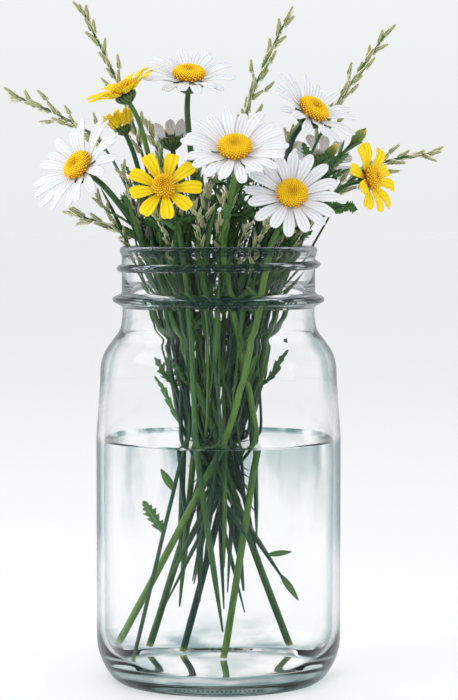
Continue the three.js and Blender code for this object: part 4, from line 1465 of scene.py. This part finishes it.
def sprout(name, stem, growth, seed):
    # leaves of one outline up a stem, each left out where it would touch the glass or a bloom
    parts = []
    for k, height in enumerate(growth["heights"]):
        root, along = ahead(stem, height)
        outward = headingOf(137.5 * k + seed * 71, 0)
        lean = growth["lean"] * (0.6 + 0.8 * scatter(k, seed))
        heading = (along + outward * lean).normalized()
        length = growth["length"] * (0.7 + 0.6 * scatter(k, seed + 3))
        middle, tip = root + heading * length * 0.6, root + heading * length
        if not (free(middle) and free(tip)):
            continue
        leaf = copyOf(patterns[growth["outline"]])
        breadth = growth["breadth"] * (0.8 + 0.4 * scatter(k, seed + 6))
        curl = 0.16 * (scatter(k, seed + 9) - 0.5)
        roll = 360 * scatter(k, seed + 2)
        layLeaf(leaf, root, heading, (length, breadth), 0.08, roll, growth["skew"], curl)
        parts.append(leaf)
    if not parts:
        return []
    piece = joined(name + "Growth", parts)
    thicken(piece, 0.25, 0)
    dress(piece, growth["paint"])
    return [piece]


# the leaves that sprout up each kind of stem: their roots' heights, how far they lean out, their
# mean length and breadth, and how far their lobes point forward
growths = {
    "grass": {
        "outline": "blade", "paint": "blade", "heights": (126, 140, 152, 164),
        "lean": 0.2, "length": 38, "breadth": 2.2, "skew": 0,
    },
    "leafy": {
        "outline": "lobed", "paint": "leaf", "heights": (124, 136, 146, 160, 172, 180, 188, 196, 203),
        "lean": 0.7, "length": 14, "breadth": 4.4, "skew": 0.25,
    },
    "bloom": {
        "outline": "plain", "paint": "leaf", "heights": (150, 176, 190),
        "lean": 0.6, "length": 11, "breadth": 2.6, "skew": 0,
    },
    "spike": {
        "outline": "plain", "paint": "leaf", "heights": (193, 196, 199, 202, 204, 206, 208, 210, 212, 214),
        "lean": 0.35, "length": 9, "breadth": 2.4, "skew": 0,
    },
    "sprigs": {
        "outline": "small", "paint": "leaf", "heights": (118, 134, 150, 166, 174, 181, 188, 195, 202),
        "lean": 0.55, "length": 12, "breadth": 3.3, "skew": 0.25,
    },
    "heads": {
        "outline": "blade", "paint": "blade", "heights": (132, 150, 166),
        "lean": 0.2, "length": 34, "breadth": 2.0, "skew": 0,
    },
}


def wrapScale(scale, low, long, angle, thick):
    # folds one scale round the middle of a spikelet
    for corner in scale.data.vertices:
        along, side, lift = corner.co
        radius = thick * (0.12 + 0.88 * math.sin(0.5 + along * 2.45)) - lift * 0.02
        swing = angle + side * 1.05
        corner.co = (radius * math.cos(swing), radius * math.sin(swing) * 0.75, low + long * along)


def modelSpikelet():
    # two rows of overlapping pointed scales round a slim core, one long
    deselect()
    bpy.ops.mesh.primitive_uv_sphere_add(segments=6, ring_count=6, radius=1, location=(0, 0, 0))
    core = bpy.context.object
    core.data.transform(Matrix.Translation((0, 0, 0.42)) @ Matrix.Diagonal((0.09, 0.07, 0.42, 1)))
    noteAll(core, "along", lambda co: 0.0)
    noteAll(core, "across", lambda co: 1.0)
    parts = [core]
    for k in range(8):
        scale = copyOf(patterns["scale"])
        angle = math.pi * (k % 2) + 0.5 * (scatter(k, 4) - 0.5)
        wrapScale(scale, 0.01 + 0.083 * k, 0.42, angle, 0.15 * (1 - 0.075 * k))
        parts.append(scale)
    return joined("spikelet", parts)


def laySpikelet(base, heading, length):
    one = copyOf(patterns["spikelet"])
    one.data.transform(Matrix.Translation(base) @ turnTo(heading) @ Matrix.Scale(length, 4))
    return one


def makeHead(name, stem, head, seed):
    # spikelets leaning out turn by turn; the lower ones stand on side branches with a second pair
    parts, branches = [], []
    for i in range(head["count"]):
        down = head["ears"] * (1 - i / (head["count"] - 0.6))
        base, forward = downFromTop(stem, down)
        across = forward.cross(back).normalized()
        swing = (i * 2.4 + scatter(i, seed)) % (2 * math.pi)
        outward = Matrix.Rotation(swing, 3, forward) @ across
        lean = 0.34 + 0.3 * scatter(i, seed + 5)
        heading = (forward * math.cos(lean) + outward * math.sin(lean)).normalized()
        length = (7.8 + 1.8 * scatter(i, seed + 9)) * head.get("size", 1)
        root = base + outward * 0.25 - heading * (length * 0.1)
        parts.append(laySpikelet(root, heading, length))
        twin = (forward * 1.4 - outward * (0.35 + 0.3 * scatter(i, seed + 2))).normalized()
        parts.append(laySpikelet(base + forward * length * 0.32, twin, length * 0.88))
        if head["count"] > 8 and i < head["count"] * 0.55:
            far = root + heading * length * 0.78 + outward * 0.7
            bent = (heading + forward * 0.35).normalized()
            parts.append(laySpikelet(far, bent, length * 0.92))
            way = [list(base), list(base.lerp(far, 0.5) + outward * 0.3), list(far)]
            branch = tubeAlong(way, [0.22, 0.18, 0.14], 8, 4)
            noteAll(branch, "tone", lambda co: 0.7)
            dress(branch, "stem")
            branches.append(branch)
    base, forward = downFromTop(stem, 0)
    parts.append(laySpikelet(base - forward * 0.8, forward, 7.4 * head.get("size", 1)))
    piece = joined(name + "Ears", parts)
    piece.data.transform(Matrix.Scale(mm, 4))
    dress(piece, "scale")
    return [piece] + branches


budShape = [(0, 0.45), (0.2, 0.86), (0.45, 1), (0.7, 0.8), (1, 0.15)]


def makeBud(name, stem, radius):
    # a pointed bud wrapped in three rings of bracts, its tip showing colour
    length = radius * 4
    core = [(length * share, radius * swell) for share, swell in budShape]
    marks = [(0, 0)] + [(r * 0.95, z) for z, r in core] + [(0, length)]
    parts = [spunCore(marks, 14, along=lambda co: co.z / length, across=lambda co: 0.2)]
    for ring, (low, high, count) in enumerate(((0, 0.55, 6), (0.15, 0.75, 6), (0.35, 0.95, 5))):
        for k in range(count):
            bract = copyOf(patterns["scale"])
            angle = (k + 0.5 * ring) / count * 2 * math.pi
            wrapBract(bract, core, low * length, high * length, angle, radius * 0.62, radius * 0.13)
            for value in bract.data.attributes["along"].data:
                value.value *= 0.35 + 0.2 * ring
            parts.append(bract)
    bud = joined(name + "Bud", parts)
    base, forward = downFromTop(stem, 1)
    bud.data.transform(Matrix.Scale(mm, 4) @ Matrix.Translation(base) @ turnTo(forward))
    dress(bud, "bud")
    return bud


def stemMarks(stem):
    # the underwater length is straight, so it gets marks of its own; a hidden foot runs to a point
    foot, bare = stem["points"][0], stem["points"][1]
    shares = (0, 0.3, 0.6, 0.85)
    points = [[a + (b - a) * s for a, b in zip(foot, bare)] for s in shares]
    radii = [stem["radii"][0] + (stem["radii"][1] - stem["radii"][0]) * s for s in shares]
    if foot[2] > stand["cutBelow"]:
        radii[0] *= 0.3
    return points + stem["points"][1:], radii + stem["radii"][1:]


# rings and sides of the tubes
fineness = {"bloom": (60, 10), "plain": (60, 8), "thin": (28, 6)}


def makeBody(stem, tone, fine):
    points, radii = stemMarks(stem)
    body = tubeAlong(points, radii, *fineness[fine])
    foot = Vector(points[0]) * mm
    noteAll(body, "tone", lambda co: tone)
    pale = (radii[0] + 0.4) * mm if points[0][2] < stand["cutBelow"] else 0
    noteAll(body, "cut", lambda co: float((co - foot).length < pale))
    dress(body, "stem", 40)
    return body


def makeStem(name, seed):
    stem = stems[name]
    tone = tones.get(name, 0.2 + 0.5 * scatter(seed, 6))
    parts = [makeBody(stem, tone, "bloom" if name in blooms else "plain")] + makeLeaves(name, stem)
    if name in blooms:
        parts.append(makeCup(name, blooms[name]))
        parts += sprout(name, stem, growths["bloom"], seed)
    elif name in grasses:
        parts += makeHead(name, stem, grasses[name], len(name))
        parts += sprout(name, stem, growths["grass"], seed)
    else:
        parts.append(makeBud(name, stem, leafyStems[name]["bud"]))
        parts += sprout(name, stem, growths["leafy"], seed)
        if name == "bud_stem":
            parts += sprout(name, stem, growths["spike"], seed)
    piece = joined(name + "Stem", parts)
    kind = "grass" if name in grasses else "leaf" if name in leafyStems else "stem"
    finishPiece(piece, kind, name + "_stem")


def makeThicket(kind, sorts):
    # every so many of the thin stems are joined into one piece
    for first in range(0, len(thinStems[kind]), sorts):
        parts = []
        for k, stem in enumerate(thinStems[kind][first:first + sorts], first):
            parts.append(makeBody(stem, stem["tone"], "thin"))
            parts += sprout(kind + str(k), stem, growths[kind], k + 20)
            if kind == "heads":
                parts += makeHead(kind + str(k), stem, thinHead, k)
        piece = joined(kind + str(first), parts)
        finishPiece(piece, "grass" if kind == "heads" else "leaf")


patterns["spikelet"] = modelSpikelet()
for seed, name in enumerate(stems):
    makeStem(name, seed)
print("stems, leaves and ears grown:", len(stems))
makeThicket("sprigs", 12)
makeThicket("heads", 8)
for pattern in patterns.values():
    bpy.data.objects.remove(pattern)
print("thicket grown")


# ---------- stage, light and camera

stageLook = {
    "floor": (0.93, 0.935, 0.94), "radius": 14,
    "sky": [
        (0.0, (0.835, 0.85, 0.865)), (0.1, (0.9, 0.905, 0.91)), (0.3, (0.97, 0.97, 0.97)),
        (0.6, (0.84, 0.85, 0.86)), (1.0, (0.9, 0.92, 0.95)),
    ],
}
# where the camera stands, how far it looks down in degrees, and its lens and sensor in millimetres
view = {"place": (0.0042, -1.0, 0.19), "down": 3.3, "lens": 128.6, "sensor": 36}
lampAim = Vector((0, 0, 0.14))
lamps = {
    "window": {"place": (-0.97, -0.3, 0.72), "size": (1.0, 0.5), "power": 5, "shown": True},
    "side": {"place": (1.1, -0.34, 0.46), "size": (0.4, 0.3), "power": 1.2, "shown": True},
    "front": {"place": (0.25, -1.5, 1.1), "size": (1.0, 0.8), "power": 3.2, "shown": False},
}


def makeFloor():
    deselect()
    bpy.ops.mesh.primitive_circle_add(
        vertices=96, radius=stageLook["radius"], fill_type="NGON", location=(0, 0, 0),
    )
    floor = bpy.context.object
    floor.name = "paleFloor"
    sheet = Sheet("paleFloor")
    grain = sheet.noise(30, 2)
    sheet.finish(Base_Color=stageLook["floor"], Roughness=grain * 0.1 + 0.75)
    floor.data.materials.append(sheet.material)
    floor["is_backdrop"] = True


def makeWorld():
    world = bpy.data.worlds.new("softRoom")
    bpy.context.scene.world = world
    world.use_nodes = True
    tree = world.node_tree
    where = tree.nodes.new("ShaderNodeTexCoord")
    split = tree.nodes.new("ShaderNodeSeparateXYZ")
    ramp = tree.nodes.new("ShaderNodeValToRGB")
    tree.links.new(where.outputs["Generated"], split.inputs[0])
    tree.links.new(split.outputs["Z"], ramp.inputs[0])
    setRamp(ramp.color_ramp, stageLook["sky"])
    tree.links.new(ramp.outputs["Color"], tree.nodes["Background"].inputs["Color"])


def addLamp(name, look):
    bpy.ops.object.light_add(type="AREA", location=look["place"])
    lamp = bpy.context.object
    lamp.name = name
    lamp.data.shape = "RECTANGLE"
    lamp.data.size, lamp.data.size_y = look["size"]
    lamp.data.energy = look["power"]
    lamp.visible_glossy = look["shown"]
    lamp.visible_transmission = look["shown"]
    aim = lampAim - Vector(look["place"])
    lamp.rotation_euler = aim.to_track_quat("-Z", "Y").to_euler()


def addCamera():
    turn = (math.radians(90 - view["down"]), 0, 0)
    bpy.ops.object.camera_add(location=view["place"], rotation=turn)
    camera = bpy.context.object
    camera.data.lens = view["lens"]
    camera.data.sensor_width = view["sensor"]
    bpy.context.scene.camera = camera


makeFloor()
makeWorld()
for name, look in lamps.items():
    addLamp(name, look)
addCamera()
bpy.context.scene.view_settings.view_transform = "Standard"

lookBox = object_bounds()
rounded = [[[round(v, 4) for v in corner] for corner in box] for box in (cadBox, lookBox)]
print("cad and visual boxes:", *rounded)
